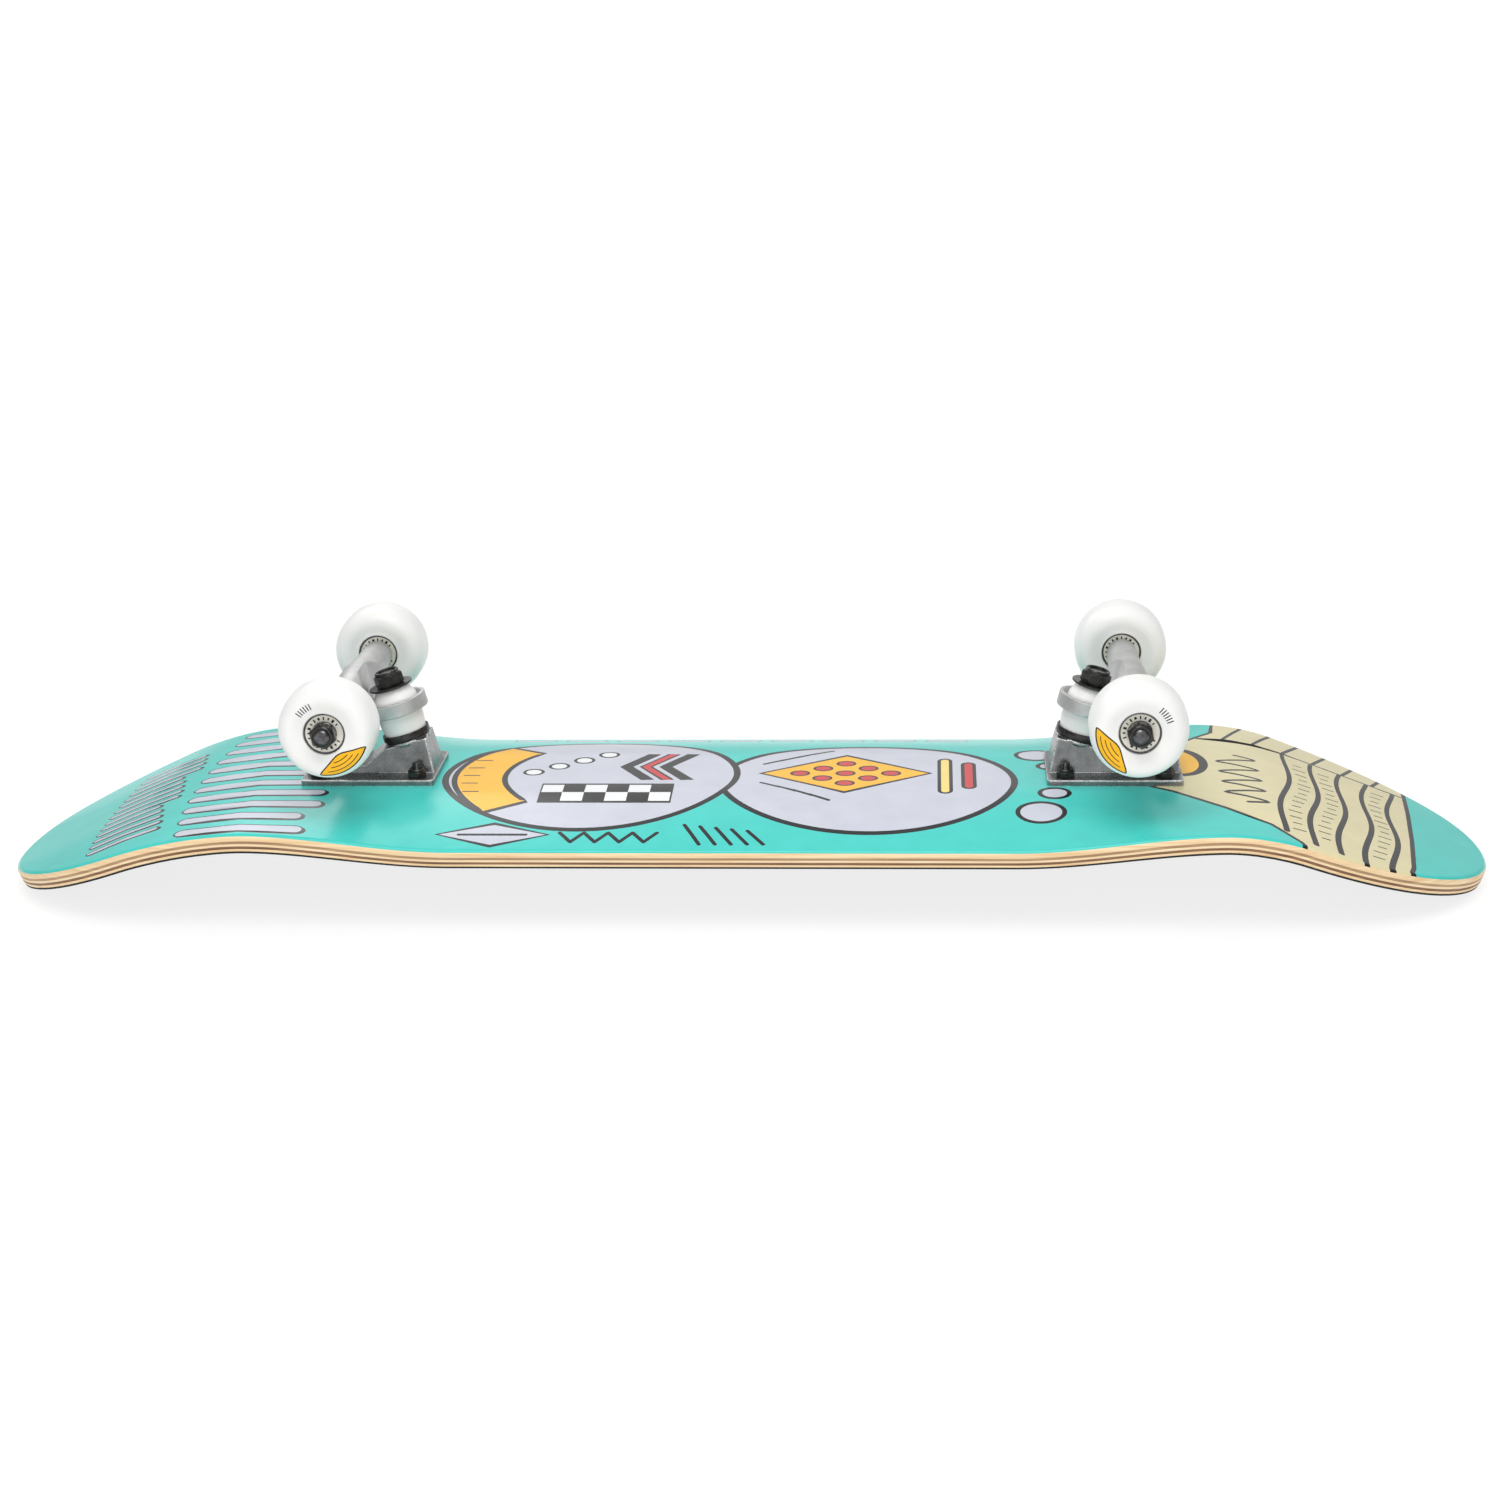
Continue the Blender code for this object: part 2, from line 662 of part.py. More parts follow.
def make_nut(name, flats, hex_height, height, collar_radius, bore, material):
    """A hexagonal lock nut with its seat at z = 0 and its round collar on top."""
    nut = hexagon(name, flats, 0, hex_height, material)
    collar = cylinder("collar", collar_radius, hex_height - 0.6 * MM, height, material, SMALL_STEPS)
    hole = cylinder(name + "_bore", bore, -MM, height + MM, None, SMALL_STEPS, CUTTERS)
    nut = cut(joined(nut, collar), hole)
    smooth(nut, 30)
    return nut


def make_kingpin_set(truck, name):
    """The kingpin, its two washers, two bushings and lock nut, from the seat up."""
    bore = KINGPIN_RADIUS + GAP
    stack = {
        "kingpin": (KINGPIN_SECTION, STEEL),
        "bottom_washer": (BOTTOM_WASHER_SECTION, BLACK),
        "bottom_bushing": (BOTTOM_BUSHING_SECTION, BUSHING),
        "top_bushing": (TOP_BUSHING_SECTION, BUSHING),
        "top_washer": (TOP_WASHER_SECTION, BLACK),
    }
    for piece, (section, material) in stack.items():
        profile = [(bore if radius is None else radius * MM, height * MM) for radius, height in section]
        obj = turned(f"{name}_{piece}", profile, material)
        placed(obj, truck, KINGPIN_SEAT, along(KINGPIN_AXIS))
    nut = make_nut(f"{name}_kingpin_nut", KINGPIN_NUT_FLATS, 6.2 * MM, 8.1 * MM, 6.9 * MM, bore, BLACK)
    placed(nut, truck, KINGPIN_SEAT + KINGPIN_AXIS * KINGPIN_NUT_SEAT, along(KINGPIN_AXIS))


def make_bolts(truck, name, bolt_mesh, nut_mesh):
    head_top = Vector((0, 0, -STACK_THICKNESS))
    seat = Vector((0, 0, PLATE_THICKNESS + 2 * GAP))
    for number, place in enumerate(bolt_places(), 1):
        placed(copy_of(bolt_mesh, f"{name}_bolt_{number}"), truck, place + head_top)
        placed(copy_of(nut_mesh, f"{name}_bolt_nut_{number}"), truck, place + seat)


# ---------------------------------------------------------------- wheels


def wheel_profile():
    """Half section of the wheel: rounded tread, dished hub and two stepped bearing seats."""
    run = WHEEL_RADIUS - WHEEL_LIP_RADIUS
    rise = WHEEL_HALF_WIDTH - WHEEL_TREAD_HALF
    shoulder = []
    for degrees in (90, 60, 28, 0):
        angle = math.radians(degrees)
        radius = WHEEL_LIP_RADIUS + run * math.cos(angle) ** 0.8
        shoulder.append((radius, WHEEL_TREAD_HALF + rise * math.sin(angle)))
    seat = BEARING_RADIUS + GAP
    step_height = BEARING_FACE - BEARING_WIDTH - GAP
    inner_rim = BEARING_RADIUS - 1.8 * MM
    upper = [(seat, HUB_FACE), (seat + 2 * MM, HUB_FACE)] + shoulder
    lower = [(radius, -height) for radius, height in reversed(upper)]
    inside = [
        (seat, -step_height),
        (inner_rim, -step_height),
        (inner_rim, step_height),
        (seat, step_height),
    ]
    return upper + lower + inside


def bearing_profile():
    """The outer ring of a ball bearing, with a pressed shield on each side, about its middle plane."""
    half = BEARING_WIDTH / 2
    race = BEARING_RADIUS - 1.8 * MM
    shield = 0.5 * MM
    return [
        (BEARING_RADIUS, half),
        (BEARING_RADIUS, -half),
        (SHIELD_RADIUS, -half),
        (SHIELD_RADIUS, -half + shield),
        (race, -half + shield),
        (race, half - shield),
        (SHIELD_RADIUS, half - shield),
        (SHIELD_RADIUS, half),
    ]


def stack_profile():
    """Speed ring, inner race, spacer, inner race and speed ring, clamped together on the axle."""
    bore = AXLE_RADIUS + GAP
    face = BEARING_FACE
    back = BEARING_FACE - BEARING_WIDTH
    end = face + SPEED_RING_HEIGHT
    upper = [
        (INNER_RACE_RADIUS - 0.7 * MM, end),
        (INNER_RACE_RADIUS - 0.7 * MM, face),
        (INNER_RACE_RADIUS, face),
        (INNER_RACE_RADIUS, back),
        (SPACER_RADIUS, back),
    ]
    lower = [(radius, -height) for radius, height in reversed(upper)]
    return upper + lower + [(bore, -end), (bore, end)]


def make_wheels(name, steer, meshes):
    """Both wheels of a truck. Wheels and bearings turn about the axle; the rest stays on it."""
    right = 1 if name == "front" else -1
    for side_name, side in (("right", right), ("left", -right)):
        outward = Matrix.Rotation(-side * math.pi / 2, 4, "X")
        centre = Vector((0, side * WHEEL_CENTRE_Y, AXLE_HEIGHT)) - PIVOT
        spin = new_empty(f"{name}_{side_name}_spin", steer, centre, outward)
        prefix = f"{name}_{side_name}"
        placed(copy_of(meshes["wheel"], f"{prefix}_wheel"), spin)
        offset = BEARING_FACE - BEARING_WIDTH / 2
        placed(copy_of(meshes["bearing"], f"{prefix}_outer_bearing"), spin, (0, 0, offset))
        placed(copy_of(meshes["bearing"], f"{prefix}_inner_bearing"), spin, (0, 0, -offset))
        placed(copy_of(meshes["stack"], f"{prefix}_race_stack"), spin)
        nut_seat = BEARING_FACE + SPEED_RING_HEIGHT + GAP
        placed(copy_of(meshes["nut"], f"{prefix}_axle_nut"), spin, (0, 0, nut_seat))


def make_axle():
    end = AXLE_HALF_LENGTH
    thin = AXLE_RADIUS - 0.7 * MM
    shank = end - MM
    profile = [(0, end), (thin, end), (AXLE_RADIUS, shank), (AXLE_RADIUS, -shank), (thin, -end), (0, -end)]
    return turned("axle", profile, STEEL)


def make_patterns():
    """One of each repeated piece, in its own frame. The copies share its mesh."""
    axle_bore = AXLE_RADIUS + GAP
    return {
        "baseplate": make_baseplate(),
        "hanger": make_hanger(),
        "axle": make_axle(),
        "wheel": turned("wheel", wheel_profile(), URETHANE, WHEEL_STEPS),
        "bearing": turned("bearing", bearing_profile(), SHIELD, SMALL_STEPS),
        "stack": turned("stack", stack_profile(), STEEL, SMALL_STEPS),
        "nut": make_nut("axle_nut", AXLE_NUT_FLATS, 4.6 * MM, 6.3 * MM, 5.9 * MM, axle_bore, BLACK),
        "bolt": turned("bolt", bolt_profile(), BLACK, SMALL_STEPS),
        "bolt_nut": make_nut(
            "bolt_nut", BOLT_NUT_FLATS, BOLT_NUT_HEX, BOLT_NUT_HEIGHT, 4.0 * MM, BOLT_RADIUS + GAP, BLACK
        ),
    }


def make_pivot_cup(truck, name):
    """The cup in the baseplate that the hanger's stem turns in."""
    plug = [(0, CUP_RIM), (CUP_RADIUS, CUP_RIM), (CUP_RADIUS, -CUP_RADIUS), (0, -CUP_RADIUS)]
    cup = turned(f"{name}_pivot_cup", plug, CUP)
    inside = PIVOT_BALL_RADIUS + GAP
    flare = inside + 0.3 * MM
    hollow = [
        (0, CUP_RIM + MM),
        (flare, CUP_RIM + MM),
        (flare, CUP_RIM),
        (inside, 0),
        (inside * 0.78, -inside * 0.68),
        (0, -inside),
    ]
    cup = cut(cup, turned(name + "_cup_hollow", hollow, None, ROUND_STEPS, CUTTERS))
    smooth(cup, 30)
    return placed(cup, truck, PIVOT, along(STEER_AXIS))


def main():
    make_board()
    patterns = make_patterns()
    for name, truck, _ in TRUCKS:
        placed(copy_of(patterns["baseplate"], f"{name}_baseplate"), truck)
        make_pivot_cup(truck, name)
        make_kingpin_set(truck, name)
        make_bolts(truck, name, patterns["bolt"], patterns["bolt_nut"])
        steer = new_empty(f"{name}_steer", truck, PIVOT)
        placed(copy_of(patterns["hanger"], f"{name}_hanger"), steer, -PIVOT)
        lying = Matrix.Rotation(-math.pi / 2, 4, "X")
        axle_place = Vector((0, 0, AXLE_HEIGHT)) - PIVOT
        placed(copy_of(patterns["axle"], f"{name}_axle"), steer, axle_place, lying)
        make_wheels(name, steer, patterns)
    for pattern in patterns.values():
        bpy.data.objects.remove(pattern, do_unlink=True)


main()
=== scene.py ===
"""Looks of a street skateboard that lies wheels up: printed deck, cast trucks, white wheels."""

import math

import bmesh
import bpy
from mathutils import Matrix, Vector
from mathutils.geometry import delaunay_2d_cdt


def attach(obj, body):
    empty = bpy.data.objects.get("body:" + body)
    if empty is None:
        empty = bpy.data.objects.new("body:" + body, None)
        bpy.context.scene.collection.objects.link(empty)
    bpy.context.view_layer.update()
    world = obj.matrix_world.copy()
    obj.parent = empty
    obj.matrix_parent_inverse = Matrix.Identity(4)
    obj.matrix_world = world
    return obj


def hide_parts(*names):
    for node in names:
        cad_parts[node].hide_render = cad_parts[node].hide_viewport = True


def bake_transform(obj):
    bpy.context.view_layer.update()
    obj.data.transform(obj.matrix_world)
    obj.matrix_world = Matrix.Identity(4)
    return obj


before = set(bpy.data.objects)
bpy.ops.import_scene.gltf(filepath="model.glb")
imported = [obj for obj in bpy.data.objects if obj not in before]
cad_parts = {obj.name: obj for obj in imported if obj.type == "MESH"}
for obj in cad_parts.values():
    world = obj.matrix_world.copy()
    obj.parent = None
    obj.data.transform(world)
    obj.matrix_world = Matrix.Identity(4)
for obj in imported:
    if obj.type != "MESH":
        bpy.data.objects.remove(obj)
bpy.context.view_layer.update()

MM = 0.001

# The deck's shape, as in the CAD
LENGTH = 821.0 * MM
WIDTH = 205.0 * MM
TIP_DROP = 47.9 * MM
NOSE_ANGLE, NOSE_RADIUS = math.radians(23.0), 195.0 * MM
TAIL_ANGLE, TAIL_RADIUS = math.radians(20.5), 130.0 * MM
CONCAVE, KICK_CONCAVE = 12.6 * MM, 3.2 * MM
FLAT_HALF = 29.0 * MM
CONCAVE_POWER = 1.6
CONCAVE_FULL, CONCAVE_FADED = 150.0 * MM, 262.0 * MM
TIP_LENGTH, TIP_POWER, TIP_ROOT, TIP_CUT = 135.0 * MM, 2.3, 2.1, 0.5 * MM
DECK_THICKNESS = 9.6 * MM
STACK = 10.7 * MM  # deck and grip tape together
FACE_Z = TIP_DROP + STACK * math.cos(TAIL_ANGLE)
EDGE_ROUND = 3.0 * MM
FILM_WRAP = 50.0  # degrees of the rounded edge that the printed film covers
PLY_BANDS = ((3.7, 1), (5.2, 4), (6.5, 2), (8.0, 3), (9.0, 1))  # lower edge in mm, material
UNDER_EDGE, UNDER_CHAMFER = 9.42 * MM, 0.18 * MM
UNDER_INSET = 0.6 * MM
BOLT_RADIUS, SINK_RADIUS, SINK_DEPTH = 2.75 * MM, 5.1 * MM, 7.6 * MM
TAPE_INSET, TAPE_GAP, TAPE_HOLE = 0.45 * MM, 0.03 * MM, 5.0 * MM

# The trucks, as in the CAD: x points out from the board's middle, z up from the printed face
AXLE_X = 213.3 * MM
AXLE_Z = 49.94 * MM
SEAT = Vector((-26.9, 0.0, 20.3)) * MM
LEAN = math.radians(15.0)
KINGPIN_AXIS = Vector((math.sin(LEAN), 0.0, math.cos(LEAN)))
PIVOT = Vector((14.0, 0.0, 14.0)) * MM
RING_MIDDLE = 19.5  # mm up the kingpin from its seat
STEER_AXIS = (SEAT + KINGPIN_AXIS * RING_MIDDLE * MM - PIVOT).normalized()
BOLT_SPOTS = [
    Matrix.Translation((x * MM, y * MM, 0)) for x in (-34.74, 19.24) for y in (-20.64, 20.64)
]
PLATE_TOP, NUT_GAP = 3.5, 0.05
KINGPIN_NUT_SEAT = 31.3 * MM

# The wheels, in mm from their middle plane and axis
WHEEL_Y = 80.0 * MM
WHEEL_RADIUS, CORE_RADIUS, CORE_HALF = 26.0, 11.6, 14.5
ROUND_START, ROUND_HEIGHT, ROUND_RISE, ROUND_POWER = 18.0, 5.0, 10.5, 2.4
BEARING_MIDDLE = 9.9 * MM


# ---- materials


def new_shader(name):
    material = bpy.data.materials.new(name)
    material.use_nodes = True
    return material, material.node_tree, material.node_tree.nodes["Principled BSDF"]


def set_sockets(node, values):
    for socket, value in values.items():
        node.inputs[socket.replace("_", " ")].default_value = value


def add_node(tree, kind, **values):
    node = tree.nodes.new(kind)
    set_sockets(node, values)
    return node


def noise(tree, scale, detail=4.0, stretch=(1, 1, 1), rough=0.55):
    place = add_node(tree, "ShaderNodeTexCoord")
    mapping = add_node(tree, "ShaderNodeMapping", Scale=stretch)
    node = add_node(tree, "ShaderNodeTexNoise", Scale=scale, Detail=detail, Roughness=rough)
    tree.links.new(place.outputs["Object"], mapping.inputs["Vector"])
    tree.links.new(mapping.outputs["Vector"], node.inputs["Vector"])
    return node.outputs["Fac"]


def ramp(tree, source, *stops):
    """Colours along a value, as (position, colour) stops."""
    node = tree.nodes.new("ShaderNodeValToRGB")
    elements = node.color_ramp.elements
    for element, (position, colour) in zip(elements, (stops[0], stops[-1])):
        element.position, element.color = position, (*colour, 1)
    for position, colour in stops[1:-1]:
        elements.new(position).color = (*colour, 1)
    tree.links.new(source, node.inputs["Fac"])
    return node.outputs["Color"]


def spread(tree, source, low, high):
    """Stretches the middle of a noise over a range."""
    node = add_node(
        tree, "ShaderNodeMapRange", From_Min=0.3, From_Max=0.7, To_Min=low, To_Max=high
    )
    tree.links.new(source, node.inputs["Value"])
    return node.outputs["Result"]


def product(tree, first, second):
    node = tree.nodes.new("ShaderNodeMath")
    node.operation = "MULTIPLY"
    tree.links.new(first, node.inputs[0])
    tree.links.new(second, node.inputs[1])
    return node.outputs["Value"]


def colour_mix(tree, blend):
    node = tree.nodes.new("ShaderNodeMix")
    node.data_type = "RGBA"
    node.blend_type = blend
    return node


def roughen(tree, shader, source, rough, bump):
    """Takes a roughness range and a (strength, depth) of bump from one noise."""
    tree.links.new(spread(tree, source, *rough), shader.inputs["Roughness"])
    node = add_node(tree, "ShaderNodeBump", Strength=bump[0], Distance=bump[1])
    tree.links.new(source, node.inputs["Height"])
    tree.links.new(node.outputs["Normal"], shader.inputs["Normal"])


def surface(name, dark, light, scale, rough, bump, stretch=(1, 1, 1), fine=2500.0, **fixed):
    """A noise-varied material: colours, roughness range and (strength, depth) of its bump."""
    material, tree, shader = new_shader(name)
    colour = ramp(tree, noise(tree, scale, 5.0, stretch), (0.32, dark), (0.68, light))
    tree.links.new(colour, shader.inputs["Base Color"])
    roughen(tree, shader, noise(tree, fine, 3.0, stretch), rough, bump)
    set_sockets(shader, fixed)
    return material


def film(name, colour):
    """Glossy heat-transfer print, with the faint unevenness of ink on maple."""
    dark = tuple(channel * 0.955 for channel in colour)
    light = tuple(min(1.0, channel * 1.03) for channel in colour)
    return surface(
        name, dark, light, 60.0, (0.20, 0.27), (0.06, 0.00006), fine=900.0,
        Coat_Weight=0.04, Coat_Roughness=0.12, Specular_IOR_Level=0.24,
    )


def wood(name, dark, light):
    """Edge of a maple ply: long fibres with darker pores."""
    fibres = (0.03, 0.06, 1.0)
    return surface(name, dark, light, 900.0, (0.42, 0.62), (0.25, 0.0001), fibres, 1600.0)


def metal(name, dark, light, scale, rough, bump, fine=1500.0, metallic=1.0):
    return surface(name, dark, light, scale, rough, bump, fine=fine, Metallic=metallic)


def cast_metal(name, dark, light, edge_highlight_colour, rough, highlight_pointiness):
    """Tumbled cast aluminium: mottled skin, fine pits, and a painted highlight, in patches, on its
    pointy edges.
    """
    material, tree, shader = new_shader(name)
    shader.inputs["Metallic"].default_value = 0.85
    skin = ramp(tree, noise(tree, 140.0, 6.0), (0.30, dark), (0.70, light))
    # Painted highlight: where the mesh is pointy, the base colour is mixed toward a bright colour,
    # broken up by a noise.
    geometry = tree.nodes.new("ShaderNodeNewGeometry")
    dull, bright = zip(highlight_pointiness, ((0, 0, 0), (1, 1, 1)))
    edge = ramp(tree, geometry.outputs["Pointiness"], dull, bright)
    patchy = spread(tree, noise(tree, 700.0, 4.0), 0.35, 1.0)
    mix = colour_mix(tree, "MIX")
    mix.inputs["B"].default_value = (*edge_highlight_colour, 1)
    tree.links.new(product(tree, edge, patchy), mix.inputs["Factor"])
    tree.links.new(skin, mix.inputs["A"])
    tree.links.new(mix.outputs["Result"], shader.inputs["Base Color"])
    roughen(tree, shader, noise(tree, 1500.0, 3.0), rough, (0.25, 0.0003))
    return material


def grip_grit():
    """Black silicon-carbide grit: coarse grains, a few of which glint."""
    material, tree, shader = new_shader("grip_grit")
    grains = noise(tree, 1900.0, 2.0, rough=0.7)
    greys = [(at, (grey,) * 3) for at, grey in ((0.38, 0.004), (0.60, 0.016), (0.72, 0.10))]
    tree.links.new(ramp(tree, grains, *greys), shader.inputs["Base Color"])
    roughen(tree, shader, grains, (0.95, 0.6), (0.9, 0.0005))
    return material


TEAL = film("print_teal", (0.062, 0.62, 0.555))
LAVENDER = film("print_lavender", (0.59, 0.61, 0.69))
INK = film("print_ink", (0.012, 0.012, 0.015))
YELLOW = film("print_yellow", (0.96, 0.505, 0.016))
PALE_YELLOW = film("print_pale_yellow", (0.90, 0.70, 0.20))
RED = film("print_red", (0.62, 0.035, 0.045))
CREAM = film("print_cream", (0.765, 0.69, 0.412))
PAPER = film("print_white", (0.86, 0.87, 0.88))
PLY_LIGHT = wood("ply_light", (0.82, 0.54, 0.28), (0.97, 0.78, 0.49))
PLY_PALE = wood("ply_pale", (0.86, 0.60, 0.33), (0.98, 0.82, 0.55))
PLY_BROWN = wood("ply_brown", (0.15, 0.068, 0.028), (0.33, 0.17, 0.078))
PLY_TAN = wood("ply_tan", (0.34, 0.20, 0.10), (0.56, 0.36, 0.19))
# The third colour is a painted highlight for the edges, and the last pair sets how pointy an edge
# must be to get it.
CAST = cast_metal(
    "cast_metal", (0.48, 0.48, 0.475), (0.60, 0.60, 0.59), (0.82, 0.82, 0.81),
    (0.40, 0.54), (0.505, 0.56),
)
# The third colour is a painted highlight for the plate's edges, and the last pair sets how pointy
# an edge must be to get it.
PLATE = cast_metal(
    "plate_metal", (0.135, 0.14, 0.143), (0.245, 0.25, 0.252), (0.92, 0.92, 0.91),
    (0.19, 0.34), (0.502, 0.54),
)
STEEL = metal(
    "zinc_plate", (0.42, 0.42, 0.41), (0.62, 0.62, 0.60), 300.0, (0.22, 0.36), (0.10, 0.00005)
)
DARK_STEEL = metal(
    "bearing_steel", (0.07, 0.07, 0.075), (0.15, 0.15, 0.155), 400.0, (0.24, 0.36), (0.08, 0.00004)
)
BLACK = metal(
    "black_oxide", (0.014, 0.013, 0.013), (0.045, 0.042, 0.039), 350.0,
    (0.12, 0.28), (0.14, 0.00008), 1800.0, 0.35,
)
NYLON = surface(
    "black_nylon", (0.012, 0.012, 0.013), (0.03, 0.03, 0.032), 400.0, (0.45, 0.6), (0.1, 0.00005)
)
URETHANE = surface(
    "wheel_urethane", (0.87, 0.872, 0.845), (0.91, 0.912, 0.89), 45.0,
    (0.30, 0.42), (0.05, 0.00006), fine=700.0, Coat_Weight=0.10, Coat_Roughness=0.35,
)
BUSHING = surface(
    "bushing_rubber", (0.89, 0.885, 0.865), (0.945, 0.94, 0.92), 80.0,
    (0.30, 0.40), (0.05, 0.00005), fine=900.0,
)
SHIELD = surface(
    "shield_enamel", (0.76, 0.74, 0.64), (0.86, 0.84, 0.75), 250.0,
    (0.28, 0.38), (0.05, 0.00004), fine=1500.0,
)
GRIT = grip_grit()


# ---- mesh helpers


def linked(name, mesh):
    obj = bpy.data.objects.new(name, mesh)
    bpy.context.scene.collection.objects.link(obj)
    return obj


def shade(mesh, sharp):
    """Smooth shading, but for edges over an angle in degrees."""
    mesh.shade_smooth()
    mesh.set_sharp_from_angle(angle=math.radians(sharp))


def add_object(name, bm, materials, sharp=30.0):
    bmesh.ops.remove_doubles(bm, verts=bm.verts, dist=2e-7)
    bmesh.ops.recalc_face_normals(bm, faces=bm.faces)
    mesh = bpy.data.meshes.new(name)
    bm.to_mesh(mesh)
    bm.free()
    for material in materials:
        mesh.materials.append(material)
    shade(mesh, sharp)
    return linked(name, mesh)


def add_printed(name, bm, printed, materials, sharp, normal_at):
    """Gives the first faces the exact normals of their surface, so that their gloss is even."""
    bm.faces.ensure_lookup_table()
    flag = bm.faces.layers.int.new("printed")
    for face in bm.faces[:printed]:
        face[flag] = 1
    obj = add_object(name, bm, materials, sharp)
    mesh = obj.data
    flags = mesh.attributes["printed"].data
    normals = [Vector((0, 0, 0))] * len(mesh.loops)
    for polygon in mesh.polygons:
        if flags[polygon.index].value:
            for loop in polygon.loop_indices:
                place = mesh.vertices[mesh.loops[loop].vertex_index].co
                normals[loop] = normal_at(place.x, place.y)
    mesh.normals_split_custom_set(normals)
    mesh.attributes.remove(mesh.attributes["printed"])
    return obj


def baked(obj):
    """Applies an object's modifiers."""
    bpy.context.view_layer.update()
    graph = bpy.context.evaluated_depsgraph_get()
    mesh = bpy.data.meshes.new_from_object(obj.evaluated_get(graph))
    old = obj.data
    obj.modifiers.clear()
    obj.data = mesh
    bpy.data.meshes.remove(old)
    return obj


def finish_piece(obj, body, node):
    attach(obj, body)
    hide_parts(node)


def band(bm, first, second, material=0):
    """Quads between two closed rings. The material may be a list, with one for each quad."""
    count = len(first)
    each = material if isinstance(material, list) else [material] * count
    for i in range(count):
        after = (i + 1) % count
        corners = (first[i], second[i], second[after], first[after])
        bm.faces.new(corners).material_index = each[i]


def slab(bm, corners, low, high, material=0):
    """A closed prism over an outline, between two heights in mm."""
    ends = ([(x * MM, y * MM, z * MM) for x, y in corners] for z in (low, high))
    floor, roof = ([bm.verts.new(place) for place in end] for end in ends)
    bm.faces.new(floor[::-1]).material_index = material
    bm.faces.new(roof).material_index = material
    band(bm, floor, roof, material)


def sheet(bm, points, triangles, place, inks=(), ground=0, flip=False):
    """Adds flat triangles with each point put in its place; gives back the vertices."""
    verts = {}
    for corners, layer in triangles:
        for corner in corners:
            if corner not in verts:
                verts[corner] = bm.verts.new(place(*points[corner]))
        face = bm.faces.new([verts[corner] for corner in (corners[::-1] if flip else corners)])
        face.material_index = inks[layer] if layer >= 0 else ground
    return verts


def filleted(points, radius, steps=3):
    """A closed polyline in mm with rounded corners. A point's third number is its own radius."""
    result = []
    count = len(points)
    for i, point in enumerate(points):
        here = Vector(point[:2])
        own = point[2] if len(point) > 2 else radius
        before = Vector(points[i - 1][:2]) - here
        after = Vector(points[(i + 1) % count][:2]) - here
        kept = own == 0 or before.length < 1e-6 or after.length < 1e-6
        if kept or before.angle(after) > math.radians(176):
            result.append((here.x, here.y))
            continue
        tangent = own / math.tan(before.angle(after) / 2)
        reach = min(tangent, before.length * 0.45, after.length * 0.45)
        start = here + before.normalized() * reach
        end = here + after.normalized() * reach
        for step in range(steps + 1):
            t = step / steps
            bend = start.lerp(here, t).lerp(here.lerp(end, t), t)
            result.append((bend.x, bend.y))
    return result


def lathe(bm, profile, steps, matrix=None, material=0, shape=None, closed=None):
    """Turns a profile of (radius, height) in mm about Z. shape() may change a radius by angle.

    Unless closed says otherwise, a profile closes on itself where it doesn't start on the axis.
    """
    if closed is None:
        closed = profile[0][0] > 0
    rings = []
    for radius, height in profile:
        if radius < 1e-6:
            rings.append([bm.verts.new((0, 0, height * MM))])
            continue
        ring = []
        for step in range(steps):
            angle = 2 * math.pi * step / steps
            out = shape(radius, height, angle) if shape else radius
            place = (out * math.cos(angle) * MM, out * math.sin(angle) * MM, height * MM)
            ring.append(bm.verts.new(place))
        rings.append(ring)
    pairs = list(zip(rings, rings[1:]))
    if closed:
        pairs.append((rings[-1], rings[0]))
    for first, second in pairs:
        for step in range(steps):
            after = (step + 1) % steps
            corners = [first[step % len(first)], first[after % len(first)]]
            corners += [second[after % len(second)], second[step % len(second)]]
            unique = list(dict.fromkeys(corners))
            if len(unique) > 2:
                bm.faces.new(unique).material_index = material
    if matrix:
        moved = [vertex for ring in rings for vertex in ring]
        bmesh.ops.transform(bm, verts=moved, matrix=matrix)


def turned(name, profile, material=CAST, steps=48, matrix=None, sharp=30.0, shape=None):
    bm = bmesh.new()
    lathe(bm, profile, steps, matrix, shape=shape)
    return add_object(name, bm, [material], sharp)


def in_plane(origin, axis, out, up):
    """Point in the truck's XZ plane, in mm: out from an axis and up it from its origin."""
    point = origin / MM + axis * up + Vector((axis.z, 0, -axis.x)) * out
    return point.x, point.z


def on_kingpin(radius, height):
    return in_plane(SEAT, KINGPIN_AXIS, radius, height)


def on_pivot(along_axis, above_axis):
    return in_plane(PIVOT, STEER_AXIS, above_axis, along_axis)


KINGPIN_PLACE = Matrix.Translation(SEAT) @ Matrix.Rotation(LEAN, 4, "Y")
PIVOT_PLACE = Matrix.Translation(PIVOT) @ STEER_AXIS.to_track_quat("Z", "Y").to_matrix().to_4x4()
AXLE_PLACE = Matrix.Translation((0, 0, AXLE_Z)) @ Matrix.Rotation(-math.pi / 2, 4, "X")
TRUCKS = {
    "front": Matrix.Translation((-AXLE_X, 0, FACE_Z)) @ Matrix.Rotation(math.pi, 4, "Z"),
    "rear": Matrix.Translation((AXLE_X, 0, FACE_Z)),
}
BOLT_CENTRES = [(truck @ spot).translation.xy for truck in TRUCKS.values() for spot in BOLT_SPOTS]


# ---- the board's surface


def kick(distance, angle, radius):
    """Fall of the face at a distance from the board's middle."""
    run = radius * math.sin(angle)
    fall = radius * (1 - math.cos(angle))
    past = distance - (LENGTH / 2 - run - (TIP_DROP - fall) / math.tan(angle))
    if past <= 0:
        return 0.0
    if past < run:
        return radius - math.sqrt(radius * radius - past * past)
    return fall + (past - run) * math.tan(angle)


